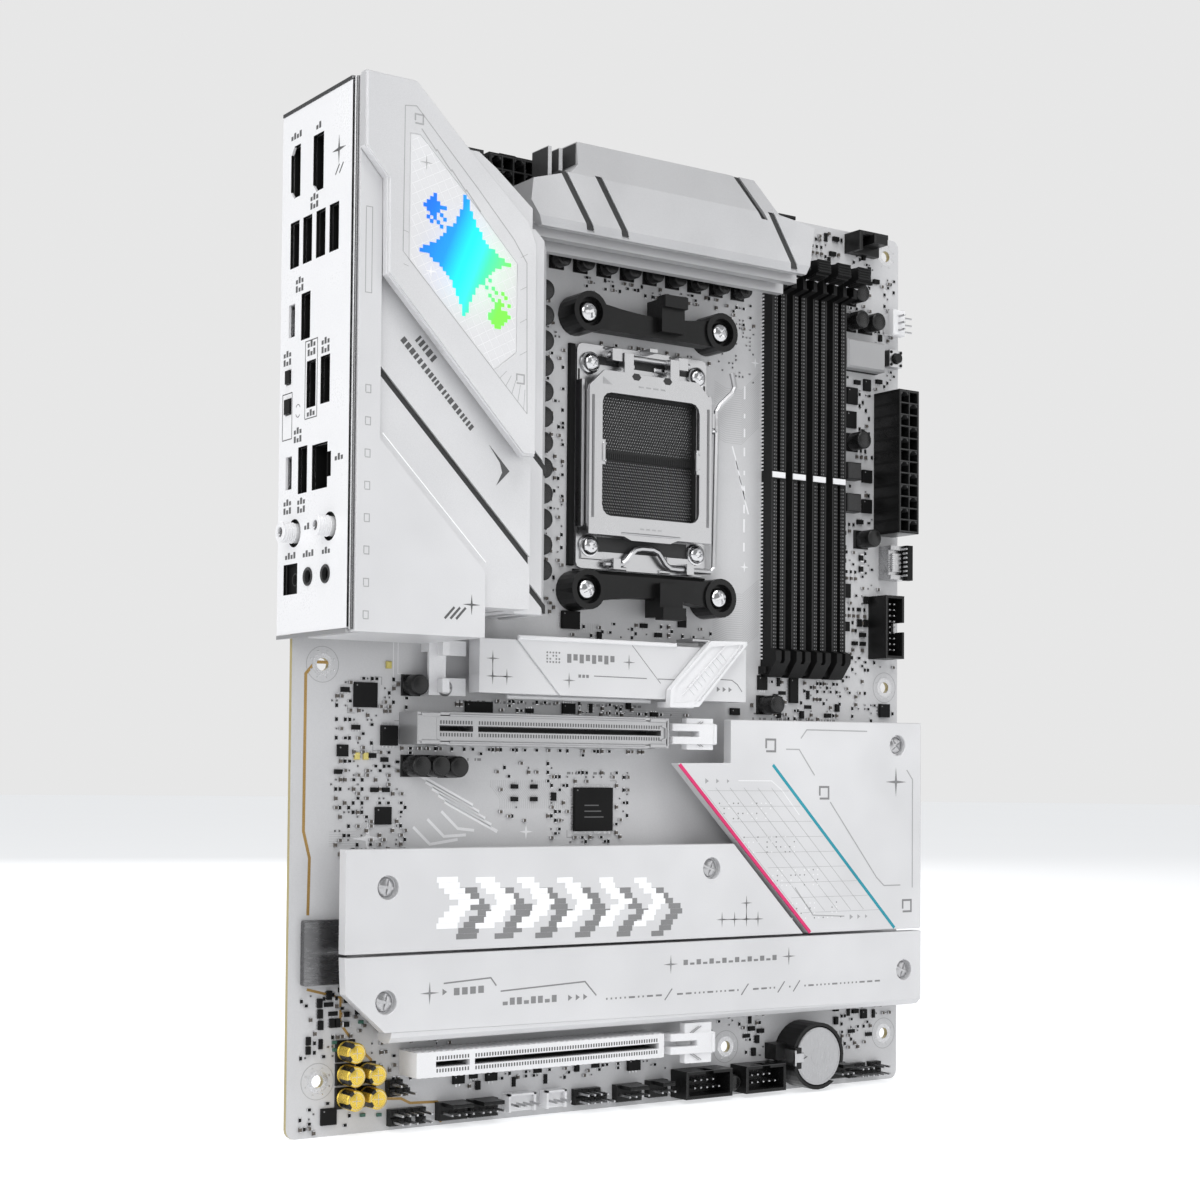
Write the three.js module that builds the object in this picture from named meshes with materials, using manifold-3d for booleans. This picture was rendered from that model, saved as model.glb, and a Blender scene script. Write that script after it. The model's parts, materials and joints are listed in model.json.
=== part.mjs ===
// A full-size ATX desktop motherboard, built as separate pieces in their working places.
//
// The board stands upright: its component side faces -Y, its rear ports face -X and +Z is up.
// Every piece is laid out on a board grid of three values:
//   x  distance from the rear (port) edge,  z  distance from the bottom edge,
//   h  height above the front face of the circuit board.
// The finished group is moved so that its origin is the centre of the lower rear mounting hole,
// on the face that rests on the standoffs.  All sizes are millimetres.

import * as THREE from 'three';
import { mergeVertices } from 'three/addons/utils/BufferGeometryUtils.js';
import Module from 'manifold-3d';

const wasm = await Module();
wasm.setup();

// ---------------------------------------------------------------- driving dimensions
const BOARD_WIDTH = 243.84;
const BOARD_HEIGHT = 304.8;
const BOARD_THICKNESS = 1.6;
const BOARD_CORNER = 3;
const PAD_THICKNESS = 0.1;
const PAD_RADIUS = 4.4;
const HOLE_RADIUS = 1.98;
const HOLE_COLUMNS = [10.16, 165.1, 237.49];
const HOLE_ROWS = [16.51, 140.97, 298.45];
const UPPER_REAR_HOLE_X = 33.02;

const SEAT = 0.1;
const GAP = 0.3;

const SOCKET_X = 127.5;
const SOCKET_Z = 213.2;
const COOLER_HALF_X = 27;
const COOLER_HALF_Z = 45;
const COOLER_HOLE_RADIUS = 2.7;
const POST_RADIUS = 2.4;
const POST_BORE = 1.75;
const FRAME_SCREW_X = 21.9;
const FRAME_SCREW_Z = 30.05;
const FRAME_SCREW_HOLE = 1.7;

const SHIELD_X = -3.7;
const SHIELD_THICKNESS = 0.8;
const SHIELD_Z = [149.1, 304.4];
const SHIELD_H = [-3, 40.9];
const PORT_FACE_X = -2.6;
const USB_A = { width: 14, height: 6 };
const USB_C = { width: 9.2, height: 3.4 };

const COVER_X = -2.6;
const COVER_H = 44;
const COVER_SHEET = 2;
const PANEL_H = 47.5;

const DIMM_FIRST_X = 182.8;
const DIMM_PITCH = 9.25;
const DIMM_WIDTH = 6.4;
const DIMM_H = 5.5;
const DIMM_Z = [143.5, 288];
const DIMM_PIVOT = { z: 283, h: 4.2 };

const PCIE_X = [36.6, 131.7];
const PCIE_H = 11.25;
const PCIE_WIDTH = 7.6;
const PCIE_ROWS = [122.3, 20.4];
const PCIE_PIVOT = { x: 135, h: 3.6 };

const PLATE_H = [9, 13];
const POWER_PITCH = 4.2;
const POWER_CELL = 3.5;
const POWER_H = 13.4;

// ---------------------------------------------------------------- finishes
const finish = (color, roughness, metalness) => ({ color, roughness, metalness });
const WHITE_METAL = finish(0xe9eaec, 0.42, 0.35);
const SILVER_METAL = finish(0xd8dadd, 0.38, 0.6);
const WHITE_PLASTIC = finish(0xf2f3f4, 0.5, 0);
const BLACK_PLASTIC = finish(0x17181a, 0.55, 0);
const STEEL = finish(0xc3c5c8, 0.28, 1);
const LAMINATE = finish(0xc9cbcd, 0.5, 0);
const CONTACT_GREY = finish(0x6d7074, 0.45, 0.4);
const LENS = finish(0xdff3ff, 0.2, 0);

// ---------------------------------------------------------------- geometry helpers
const frontY = (h) => -(BOARD_THICKNESS + h);

function shapeOf(points, holes = []) {
  const shape = new THREE.Shape(points.map(([u, v]) => new THREE.Vector2(u, v)));
  for (const hole of holes) {
    shape.holes.push(new THREE.Path(hole.map(([u, v]) => new THREE.Vector2(u, v))));
  }
  return shape;
}

function extrude(shape, depth, right, up, start) {
  const geometry = new THREE.ExtrudeGeometry(shape, { depth, bevelEnabled: false, curveSegments: 6 });
  const out = new THREE.Vector3().crossVectors(right, up);
  geometry.applyMatrix4(new THREE.Matrix4().makeBasis(right, up, out).setPosition(start));
  return geometry;
}

const AXIS_X = new THREE.Vector3(1, 0, 0);
const AXIS_Z = new THREE.Vector3(0, 0, 1);
const AWAY = new THREE.Vector3(0, -1, 0);

// An outline in (x, z), thickened between two heights above the board.
function slab(points, h0, h1, holes = []) {
  const start = new THREE.Vector3(0, frontY(h0), 0);
  return extrude(shapeOf(points, holes), h1 - h0, AXIS_X, AXIS_Z, start);
}

// A cross-section in (h, z), drawn out along x.
function bar(points, x0, x1, holes = []) {
  const start = new THREE.Vector3(x1, frontY(0), 0);
  return extrude(shapeOf(points, holes), x1 - x0, AWAY, AXIS_Z, start);
}

// A cross-section in (x, h), drawn out along z.
function column(points, z0, z1, holes = []) {
  const start = new THREE.Vector3(0, frontY(0), z1);
  return extrude(shapeOf(points, holes), z1 - z0, AXIS_X, AWAY, start);
}

function block(x0, x1, h0, h1, z0, z1) {
  const geometry = new THREE.BoxGeometry(x1 - x0, h1 - h0, z1 - z0);
  geometry.translate((x0 + x1) / 2, frontY((h0 + h1) / 2), (z0 + z1) / 2);
  return geometry;
}

// A round post standing on the board.
function post(x, z, radius, h0, h1, sides = 20) {
  const geometry = new THREE.CylinderGeometry(radius, radius, h1 - h0, sides);
  geometry.translate(x, frontY((h0 + h1) / 2), z);
  return geometry;
}

// A round rod lying along x.
function rod(h, z, radius, x0, x1, sides = 20) {
  const geometry = new THREE.CylinderGeometry(radius, radius, x1 - x0, sides);
  geometry.rotateZ(Math.PI / 2);
  geometry.translate((x0 + x1) / 2, frontY(h), z);
  return geometry;
}

// A round pin lying along z.
function pin(x, h, radius, z0, z1, sides = 16) {
  const geometry = new THREE.CylinderGeometry(radius, radius, z1 - z0, sides);
  geometry.rotateX(Math.PI / 2);
  geometry.translate(x, frontY(h), (z0 + z1) / 2);
  return geometry;
}

function rectangle(x0, x1, z0, z1) {
  return [[x0, z0], [x1, z0], [x1, z1], [x0, z1]];
}

function circle(x, z, radius, sides = 20) {
  const points = [];
  for (let i = 0; i < sides; i += 1) {
    const angle = (2 * Math.PI * i) / sides;
    points.push([x + radius * Math.cos(angle), z + radius * Math.sin(angle)]);
  }
  return points;
}

function roundedRectangle(x0, x1, z0, z1, radius, steps = 4) {
  const corners = [[x1 - radius, z1 - radius], [x0 + radius, z1 - radius],
    [x0 + radius, z0 + radius], [x1 - radius, z0 + radius]];
  const points = [];
  corners.forEach(([cx, cz], quarter) => {
    for (let i = 0; i <= steps; i += 1) {
      const angle = (Math.PI / 2) * (quarter + i / steps);
      points.push([cx + radius * Math.cos(angle), cz + radius * Math.sin(angle)]);
    }
  });
  return points;
}

function solid(geometry) {
  if (!(geometry instanceof THREE.BufferGeometry)) {
    return geometry;
  }
  const bare = geometry.clone();
  bare.deleteAttribute('normal');
  bare.deleteAttribute('uv');
  const merged = mergeVertices(bare, 1e-4);
  const vertProperties = new Float32Array(merged.attributes.position.array);
  const triVerts = new Uint32Array(merged.index.array);
  return new wasm.Manifold(new wasm.Mesh({ numProp: 3, vertProperties, triVerts }));
}

function join(first, ...others) {
  return others.reduce((whole, next) => whole.add(solid(next)), solid(first));
}

function cut(first, ...tools) {
  return tools.reduce((rest, tool) => rest.subtract(solid(tool)), solid(first));
}

function common(first, second) {
  return solid(first).intersect(solid(second));
}

function geometryOf(shape) {
  if (shape instanceof THREE.BufferGeometry) {
    return shape;
  }
  const mesh = shape.getMesh();
  const geometry = new THREE.BufferGeometry();
  geometry.setAttribute('position', new THREE.BufferAttribute(mesh.vertProperties, 3));
  geometry.setIndex(new THREE.BufferAttribute(mesh.triVerts, 1));
  geometry.computeVertexNormals();
  return geometry;
}

const board = new THREE.Group();

function add(name, shape, look) {
  const mesh = new THREE.Mesh(geometryOf(shape), new THREE.MeshStandardMaterial(look));
  mesh.name = name;
  board.add(mesh);
}

// A round wire through a row of [x, h, z] points, with its bends rounded.
function wire(points, radius, bend, steps) {
  const corners = points.map(([x, h, z]) => new THREE.Vector3(x, frontY(h), z));
  const path = new THREE.CurvePath();
  let from = corners[0];
  for (let i = 1; i < corners.length - 1; i += 1) {
    const corner = corners[i];
    const before = corner.clone().add(from.clone().sub(corner).setLength(bend));
    const after = corner.clone().add(corners[i + 1].clone().sub(corner).setLength(bend));
    path.add(new THREE.LineCurve3(from, before));
    path.add(new THREE.QuadraticBezierCurve3(before, corner, after));
    from = after;
  }
  path.add(new THREE.LineCurve3(from, corners[corners.length - 1]));
  const section = shapeOf(circle(0, 0, radius, 7));
  return new THREE.ExtrudeGeometry(section, { steps, bevelEnabled: false, extrudePath: path });
}

// ---------------------------------------------------------------- circuit board
function mountingHoles() {
  const holes = [];
  for (const z of HOLE_ROWS) {
    for (const x of HOLE_COLUMNS) {
      const upperRear = z === HOLE_ROWS[2] && x === HOLE_COLUMNS[0];
      holes.push([upperRear ? UPPER_REAR_HOLE_X : x, z]);
    }
  }
  return holes;
}

function fourAround(halfX, halfZ) {
  const signs = [[-1, -1], [1, -1], [1, 1], [-1, 1]];
  return signs.map(([sx, sz]) => [SOCKET_X + sx * halfX, SOCKET_Z + sz * halfZ]);
}

const coolerPosts = fourAround(COOLER_HALF_X, COOLER_HALF_Z);
const frameScrews = fourAround(FRAME_SCREW_X, FRAME_SCREW_Z);

function circuitBoard() {
  const outline = roundedRectangle(0, BOARD_WIDTH, 0, BOARD_HEIGHT, BOARD_CORNER);
  const holes = [
    ...mountingHoles().map(([x, z]) => circle(x, z, HOLE_RADIUS, 12)),
    ...coolerPosts.map(([x, z]) => circle(x, z, COOLER_HOLE_RADIUS, 12)),
    ...frameScrews.map(([x, z]) => circle(x, z, FRAME_SCREW_HOLE, 12)),
  ];
  const laminateBack = -(BOARD_THICKNESS - PAD_THICKNESS);
  const laminate = slab(outline, laminateBack, 0, holes);
  const pads = mountingHoles().map(([x, z]) => slab(
    circle(x, z, PAD_RADIUS, 12), -BOARD_THICKNESS, laminateBack + 0.5, [circle(x, z, HOLE_RADIUS, 12)]));
  return join(laminate, ...pads);
}
add('pcb', circuitBoard(), LAMINATE);

// ---------------------------------------------------------------- processor socket
function socketBackplate() {
  const back = -(BOARD_THICKNESS + 2.3);
  const face = -(BOARD_THICKNESS + SEAT);
  const outline = roundedRectangle(SOCKET_X - 33, SOCKET_X + 33, SOCKET_Z - 51, SOCKET_Z + 51, 5, 3);
  const window = roundedRectangle(SOCKET_X - 14, SOCKET_X + 14, SOCKET_Z - 12, SOCKET_Z + 12, 2, 2);
  const screwHoles = frameScrews.map(([x, z]) => circle(x, z, FRAME_SCREW_HOLE, 12));
  const plate = slab(outline, back, face, [window, ...screwHoles]);
  const posts = coolerPosts.map(([x, z]) => post(x, z, POST_RADIUS, face - 0.5, 3, 16));
  const bores = coolerPosts.map(([x, z]) => post(x, z, POST_BORE, back - 1, 4, 12));
  return cut(join(plate, ...posts), ...bores);
}
add('socket_backplate', socketBackplate(), STEEL);

function socketBase() {
  const body = block(SOCKET_X - 20.6, SOCKET_X + 20.6, SEAT, 3.6, SOCKET_Z - 22, SOCKET_Z + 22);
  const seat = block(SOCKET_X - 19.6, SOCKET_X + 19.6, 2.4, 5, SOCKET_Z - 19.6, SOCKET_Z + 19.6);
  const heel = block(SOCKET_X - 19.6, SOCKET_X + 19.6, 2, 2.9, SOCKET_Z - 1, SOCKET_Z + 1);
  return join(cut(body, seat), heel);
}
add('socket_base', socketBase(), CONTACT_GREY);

const HINGE = { h: 4, z: 246.3, radius: 0.9 };
const LEVER = { h: 3.1, z: 177.6, x: 156.4, radius: 0.95 };

function socketFrame() {
  const x0 = SOCKET_X - 26.7;
  const x1 = SOCKET_X + 26.7;
  const z0 = SOCKET_Z - 37.4;
  const z1 = SOCKET_Z + 36.4;
  const opening = rectangle(SOCKET_X - 21, SOCKET_X + 21, SOCKET_Z - 22.4, SOCKET_Z + 22.4);
  const screwHoles = frameScrews.map(([x, z]) => circle(x, z, FRAME_SCREW_HOLE, 12));
  const sheet = slab(roundedRectangle(x0, x1, z0, z1, 2, 2), SEAT, 1.3, [opening, ...screwHoles]);
  const railLeft = block(x0, x0 + 1.1, 0.6, 4.2, SOCKET_Z - 24, SOCKET_Z + 24);
  const railRight = block(x1 - 1.1, x1, 0.6, 4.2, SOCKET_Z - 24, SOCKET_Z + 24);
  const hingeLugs = [-13.6, 13.6].map((dx) => cut(
    block(SOCKET_X + dx - 2, SOCKET_X + dx + 2, 0.6, 5.6, HINGE.z - 2, HINGE.z + 2),
    rod(HINGE.h, HINGE.z, HINGE.radius + GAP, SOCKET_X + dx - 3, SOCKET_X + dx + 3, 12)));
  const leverLugs = [-12.6, 17.6].map((dx) => cut(
    block(SOCKET_X + dx - 1.5, SOCKET_X + dx + 1.5, 0.6, 4.9, LEVER.z - 1.8, LEVER.z + 1.8),
    rod(LEVER.h, LEVER.z, LEVER.radius + GAP, SOCKET_X + dx - 3, SOCKET_X + dx + 3, 12)));
  const stopTab = block(SOCKET_X - 1.6, SOCKET_X + 1.6, 0.6, 7.2, z1 - 1.2, z1);
  const catchTab = block(x1 - 0.6, x1 + 0.5, 0.6, 5.4, SOCKET_Z + 13, SOCKET_Z + 18);
  return join(sheet, railLeft, railRight, ...hingeLugs, ...leverLugs, stopTab, catchTab);
}
add('socket_frame', socketFrame(), STEEL);

function loadPlate() {
  const x0 = SOCKET_X - 25.2;
  const x1 = SOCKET_X + 25.2;
  const z0 = 186.6;
  const z1 = 240.6;
  const window = roundedRectangle(SOCKET_X - 19.9, SOCKET_X + 19.9, 193, 233.4, 3.4, 3);
  const outline = [[x0, z0], [SOCKET_X - 11, z0], [SOCKET_X - 8, 185.4], [SOCKET_X + 8, 185.4],
    [SOCKET_X + 11, z0], [x1, z0], [x1, 235], [x1 - 6, z1], [x0 + 6, z1], [x0, 235]];
  const sheet = slab(outline, 5.2, 6.4, [window]);
  const tabs = [-20.2, 18.7].map((dx) => block(SOCKET_X + dx, SOCKET_X + dx + 1.5, 5.2, 6.4, 209.6, 217.8));
  const flanges = [x0, x1 - 1].map((x) => block(x, x + 1, 4.7, 5.8, 190, 234));
  const arms = [-9.4, 9.4].map((dx) => {
    const inner = SOCKET_X + dx - 1.9;
    return block(inner, inner + 3.8, 5.2, 6.4, z1 - 3, HINGE.z - 2.6);
  });
  const knuckles = [-9.4, 9.4].map((dx) => block(
    SOCKET_X + dx - 1.9, SOCKET_X + dx + 1.9, HINGE.h - 0.9, 6.4, HINGE.z - 3.6, HINGE.z + 0.9));
  const axle = rod(HINGE.h, HINGE.z, HINGE.radius, SOCKET_X - 17, SOCKET_X + 17, 12);
  return join(sheet, ...tabs, ...flanges, ...arms, ...knuckles, axle);
}
add('load_plate', loadPlate(), STEEL);

function socketLever() {
  const crankZ = 183.4;
  const points = [
    [SOCKET_X - 16.5, LEVER.h, LEVER.z], [SOCKET_X - 8.8, LEVER.h, LEVER.z],
    [SOCKET_X - 4.2, LEVER.h + 0.3, crankZ], [SOCKET_X + 4.6, LEVER.h + 0.3, crankZ],
    [SOCKET_X + 9.4, LEVER.h, LEVER.z], [LEVER.x, LEVER.h, LEVER.z],
    [LEVER.x, 4.3, 226], [155.9, 4.6, 233], [164, 4.8, 240.4], [162.4, 4.8, 246],
  ];
  return wire(points, LEVER.radius, 1.9, 50);
}
add('socket_lever', socketLever(), STEEL);

// ---------------------------------------------------------------- cooler brackets
function coolerBracket(side) {
  const centreZ = SOCKET_Z + side * COOLER_HALF_Z;
  const ends = [SOCKET_X - COOLER_HALF_X, SOCKET_X + COOLER_HALF_X];
  const bosses = ends.map((x) => post(x, centreZ, 6.6, SEAT, 9.6, 24));
  const waist = [];
  for (let i = 0; i <= 8; i += 1) {
    const t = i / 8;
    const x = ends[0] + t * (ends[1] - ends[0]);
    waist.push([x, centreZ + side * (1.6 + 2.8 * (2 * t - 1) ** 2)]);
  }
  const inner = [[ends[1], centreZ - side * 5.2], [ends[0], centreZ - side * 5.2]];
  const outline = [...waist, ...inner];
  const beam = slab(side > 0 ? outline.reverse() : outline, 3.2, 8.8);
  const nearZ = centreZ - side * 3.4;
  const farZ = centreZ + side * 7.6;
  const lug = block(SOCKET_X, SOCKET_X + 9.4, 3.2, 11.6, Math.min(nearZ, farZ), Math.max(nearZ, farZ));
  const hookZ = [centreZ + side * 4.6, centreZ + side * 8.6];
  const hook = block(SOCKET_X, SOCKET_X + 9.4, 9, 13.4, Math.min(...hookZ), Math.max(...hookZ));
  const bores = ends.flatMap((x) => [
    post(x, centreZ, 4.7, 7.4, 11, 20),
    post(x, centreZ, 2.1, -1, 9, 16),
    post(x, centreZ, POST_RADIUS + GAP, -1, 3.4, 16),
  ]);
  return cut(join(beam, ...bosses, lug, hook), ...bores);
}
add('cooler_bracket_top', coolerBracket(1), BLACK_PLASTIC);
add('cooler_bracket_bottom', coolerBracket(-1), BLACK_PLASTIC);

// ---------------------------------------------------------------- memory slots and their latches
function memorySlot(x) {
  const half = DIMM_WIDTH / 2;
  const [z0, z1] = DIMM_Z;
  const side = [[SEAT, z0], [4.4, z0], [8.4, z0 + 5], [8.4, z0 + 8.2], [DIMM_H, z0 + 9.2],
    [DIMM_H, 276.4], [11, 277.4], [11, z1 - 3], [7, z1], [SEAT, z1]];
  const body = bar(side, x - half, x + half);
  const lowerGroove = block(x - 0.75, x + 0.75, 1.6, 12, z0 + 4, 211.6);
  const upperGroove = block(x - 0.75, x + 0.75, 1.6, 12, 214.2, 279);
  const latchRoom = block(x - 1.6, x + 1.6, 0.8, 12, 277.9, z1 + 1);
  return cut(body, lowerGroove, upperGroove, latchRoom);
}

function memoryLatch(x) {
  const { z, h } = DIMM_PIVOT;
  const stem = [[1.4, z - 3.4], [3, z - 3.9], [6, z - 1.9], [13, z - 1.7], [13, z + 2.2], [6, z + 1.9],
    [2.2, z + 1.9]];
  const grip = [[11.6, z - 2.2], [18.6, z - 0.8], [18.2, z + 3.4], [11.6, z + 3.9]];
  return join(bar(stem, x - 1.2, x + 1.2), bar(grip, x - 3, x + 3), rod(h, z, 1.1, x - 1.3, x + 1.3, 10));
}

for (let i = 0; i < 4; i += 1) {
  const x = DIMM_FIRST_X + i * DIMM_PITCH;
  add(`dimm_slot_${i + 1}`, memorySlot(x), BLACK_PLASTIC);
  add(`dimm_latch_${i + 1}`, memoryLatch(x), BLACK_PLASTIC);
}

// ---------------------------------------------------------------- expansion slots and their latches
function expansionSlot(z) {
  const half = PCIE_WIDTH / 2;
  const [x0, x1] = PCIE_X;
  const body = block(x0 + 1.3, x1 - 0.9, SEAT, PCIE_H - 0.3, z - half, z + half);
  const shortGroove = block(x0 + 8, x0 + 20, 2.6, 14, z - 0.9, z + 0.9);
  const longGroove = block(x0 + 21.8, x1 - 3, 2.6, 14, z - 0.9, z + 0.9);
  return cut(body, shortGroove, longGroove);
}

function slotArmour(z) {
  const outerHalf = PCIE_WIDTH / 2 + 1.1;
  const [x0, x1] = PCIE_X;
  const shell = block(x0, x1, SEAT, PCIE_H, z - outerHalf, z + outerHalf);
  const room = block(x0 + 1, x1 - 0.6, -1, 20, z - outerHalf + 0.8, z + outerHalf - 0.8);
  return cut(shell, room);
}

function slotLatch(z, halfWidth) {
  const { x, h } = PCIE_PIVOT;
  const arm = [[x - 1.8, h - 1.8], [x + 1.8, h - 1.8], [x + 5, 6.8], [x + 16, 9.2], [x + 16, 12.2],
    [x + 4, 11.4], [x - 1, 10.4]];
  const wings = [[x + 4.6, 7.6], [x + 15, 9.8], [x + 15, 11.6], [x + 4.6, 10.6]];
  const slot = block(x - 3, x + 9, 6, 14, z - 0.9, z + 0.9);
  const narrow = 3.4;
  return cut(join(column(arm, z - narrow, z + narrow), column(wings, z - halfWidth, z + halfWidth)), slot);
}

add('pcie_slot_1', expansionSlot(PCIE_ROWS[0]), WHITE_PLASTIC);
add('pcie_slot_1_armour', slotArmour(PCIE_ROWS[0]), SILVER_METAL);
add('pcie_slot_2', expansionSlot(PCIE_ROWS[1]), WHITE_PLASTIC);
add('pcie_latch_1', slotLatch(PCIE_ROWS[0], 5.2), WHITE_PLASTIC);
add('pcie_latch_2', slotLatch(PCIE_ROWS[1], 6.6), WHITE_PLASTIC);

// ---------------------------------------------------------------- rear ports
// A port shell with rectangular mouths opening to -x; each mouth is [h0, h1, z0, z1, depth, tongue].
function portStack(depth, h0, h1, z0, z1, mouths, legX = null) {
  const outline = [[PORT_FACE_X, h0], [depth, h0], [depth, h1], [PORT_FACE_X, h1]];
  if (legX !== null) {
    outline.splice(1, 1, [legX, h0], [legX, SEAT], [depth, SEAT]);
  }
  let shell = solid(column(outline, z0, z1));
  for (const [mh0, mh1, mz0, mz1, mouthDepth, tongue] of mouths) {
    shell = cut(shell, block(PORT_FACE_X - 1, PORT_FACE_X + mouthDepth, mh0, mh1, mz0, mz1));
    if (tongue) {
      const middle = (mh0 + mh1) / 2;
      const reach = PORT_FACE_X + mouthDepth + 0.5;
      const blade = block(PORT_FACE_X + 1, reach, middle - tongue, middle + tongue, mz0 + 1.4, mz1 - 1.4);
      shell = join(shell, blade);
    }
  }
  return shell;
}

function usbA(h, z) {
  const halfZ = USB_A.width / 2 - 0.4;
  return [h - USB_A.height / 2 + 0.4, h + USB_A.height / 2 - 0.4, z - halfZ, z + halfZ, 12, 0.9];
}

function usbC(h, z) {
  return [h - USB_C.height / 2, h + USB_C.height / 2, z - USB_C.width / 2, z + USB_C.width / 2, 8, 0.4];
}

const HDMI = [2.9, 8.5, 278.8, 293.8, 9, 0.8];
const DISPLAYPORT = [17.3, 23.3, 277.6, 293.8, 9, 0.8];
add('video_port_stack', portStack(16, SEAT, 25, 275.6, 296.2, [HDMI, DISPLAYPORT]), STEEL);

const quadHeights = [5.7, 13.9, 22.3, 30.6];
add('usb_a_quad_stack', portStack(18, SEAT, 34.9, 256, 273, quadHeights.map((h) => usbA(h, 264.5))), STEEL);
add('usb_stack_upper', portStack(18, SEAT, 17.6, 233.6, 250.2, [usbC(4.4, 242), usbA(13.4, 242)]), STEEL);
add('usb2_stack', portStack(18, 12.6, 31, 213, 229.8, [usbA(17.4, 221.4), usbA(26.2, 221.4)], 8), STEEL);
add('usb_stack_lower', portStack(18, SEAT, 16.9, 188.4, 205.2, [usbC(3.6, 196.8), usbA(12.6, 196.8)]), STEEL);

const LAN_MOUTH = [18.9, 28.2, 190.3, 202.9, 13, 0];
const LAN_TAB = [27.6, 30.1, 193.3, 199.9, 13, 0];
add('lan_jack', portStack(20, 17.3, 31.6, 188.4, 205.2, [LAN_MOUTH, LAN_TAB], 18.4), STEEL);

const OPTICAL = { h: 5.6, z: 165.2, half: 4.3 };
const opticalMouth = [OPTICAL.h - OPTICAL.half, OPTICAL.h + OPTICAL.half, OPTICAL.z - OPTICAL.half,
  OPTICAL.z + OPTICAL.half, 11, 0];
add('optical_port', portStack(10, SEAT, 11, 159.4, 171, [opticalMouth]), BLACK_PLASTIC);
const shutterH = OPTICAL.h + OPTICAL.half - 0.7;
const shutterX = PORT_FACE_X + 1.2;
const shutterHalf = OPTICAL.half - 0.4;
const shutterZ = [OPTICAL.z - shutterHalf, OPTICAL.z + shutterHalf];
const shutterFlap = block(shutterX - 0.4, shutterX + 0.4, OPTICAL.h - shutterHalf, shutterH, ...shutterZ);
add('optical_shutter', join(shutterFlap, pin(shutterX, shutterH, 0.5, ...shutterZ, 10)), BLACK_PLASTIC);

function audioJacks() {
  const body = portStack(14, 11.4, 33.6, 159.4, 171, [], 10.4);
  const bores = [17, 27.9].map((h) => rod(h, 165.2, 1.85, PORT_FACE_X - 1, 9, 16));
  return cut(body, ...bores);
}
add('audio_jack_stack', audioJacks(), BLACK_PLASTIC);

const ANTENNA_HEIGHTS = [7.7, 29.9];
const ANTENNA_Z = 178.65;
function antennaPost(h) {
  const barrel = rod(h, ANTENNA_Z, 2.9, -8.2, 4, 20);
  const flange = rod(h, ANTENNA_Z, 4.6, -2.4, 4.6, 20);
  const bore = rod(h, ANTENNA_Z, 1.5, -9, -3, 12);
  return cut(join(barrel, flange), bore);
}
add('antenna_post_1', antennaPost(ANTENNA_HEIGHTS[0]), WHITE_METAL);
add('antenna_post_2', antennaPost(ANTENNA_HEIGHTS[1]), WHITE_METAL);

const CLEAR_BUTTON = { h: 2.9, z: 225.4 };
const BIOS_BUTTON = { h: 2.9, z: 216.6 };
const BUTTON_REACH = 0.7;
function rearButton({ h, z }, halfH, halfZ) {
  const cap = block(SHIELD_X - BUTTON_REACH, 0.6, h - halfH, h + halfH, z - halfZ, z + halfZ);
  const collar = block(-2.1, -0.6, h - halfH - 0.5, h + halfH + 0.5, z - halfZ - 0.6, z + halfZ + 0.6);
  return join(cap, collar);
}
add('clear_cmos_button', rearButton(CLEAR_BUTTON, 1.3, 2), BLACK_PLASTIC);
add('bios_button', rearButton(BIOS_BUTTON, 1.7, 2.2), BLACK_PLASTIC);

function ioShield() {
  const [z0, z1] = SHIELD_Z;
  const [h0, h1] = SHIELD_H;
  const window = ([wh0, wh1, wz0, wz1], margin = GAP) => [
    [wh0 - margin, wz0 - margin], [wh1 + margin, wz0 - margin],
    [wh1 + margin, wz1 + margin], [wh0 - margin, wz1 + margin]];
  const lanWindow = [[18.6, 190], [28.2, 190], [28.2, 193], [30.4, 193], [30.4, 200.2], [28.2, 200.2],
    [28.2, 203.2], [18.6, 203.2]];
  const buttonWindow = ({ h, z }, halfH, halfZ) => window([h - halfH, h + halfH, z - halfZ, z + halfZ]);
  const holes = [
    window(HDMI), window(DISPLAYPORT), ...quadHeights.map((h) => window(usbA(h, 264.5))),
    window(usbC(4.4, 242)), window(usbA(13.4, 242)), window(usbA(17.4, 221.4)), window(usbA(26.2, 221.4)),
    window(usbC(3.6, 196.8)), window(usbA(12.6, 196.8)), lanWindow, window(opticalMouth, 0.2),
    circle(17, 165.2, 2.3, 16), circle(27.9, 165.2, 2.3, 16),
    ...ANTENNA_HEIGHTS.map((h) => circle(h, ANTENNA_Z, 4.2, 20)),
    buttonWindow(CLEAR_BUTTON, 1.3, 2), buttonWindow(BIOS_BUTTON, 1.7, 2.2),
  ];
  const outline = [[h0, z0], [h1, z0], [h1, z1], [h0, z1]];
  const sheet = bar(outline, SHIELD_X, SHIELD_X + SHIELD_THICKNESS);
  const punches = holes.map((hole) => bar(hole, SHIELD_X - 1, SHIELD_X + SHIELD_THICKNESS + 1));
  const nearFlange = block(SHIELD_X, -0.4, h1 - 0.8, h1, z0, z1);
  const topFlange = block(SHIELD_X, -0.4, 0.6, h1, z1 - 0.8, z1);
  return join(cut(sheet, ...punches), nearFlange, topFlange);
}
add('io_shield', ioShield(), WHITE_METAL);

// ---------------------------------------------------------------- rear cover and its raised panel
const PANEL_OUTLINE = [[-2.8, 305.8], [-2.8, 284.4], [4.5, 276.6], [4.7, 249], [50.8, 202], [54.9, 202],
  [55.2, 264.6], [52.4, 271.2], [29.8, 290.9], [13.6, 305.8]];
const LENS_OUTLINE = [[11.6, 290], [14.8, 290], [33.8, 272], [47.6, 258], [47.6, 232], [40, 226],
  [11.6, 254]];

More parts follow.
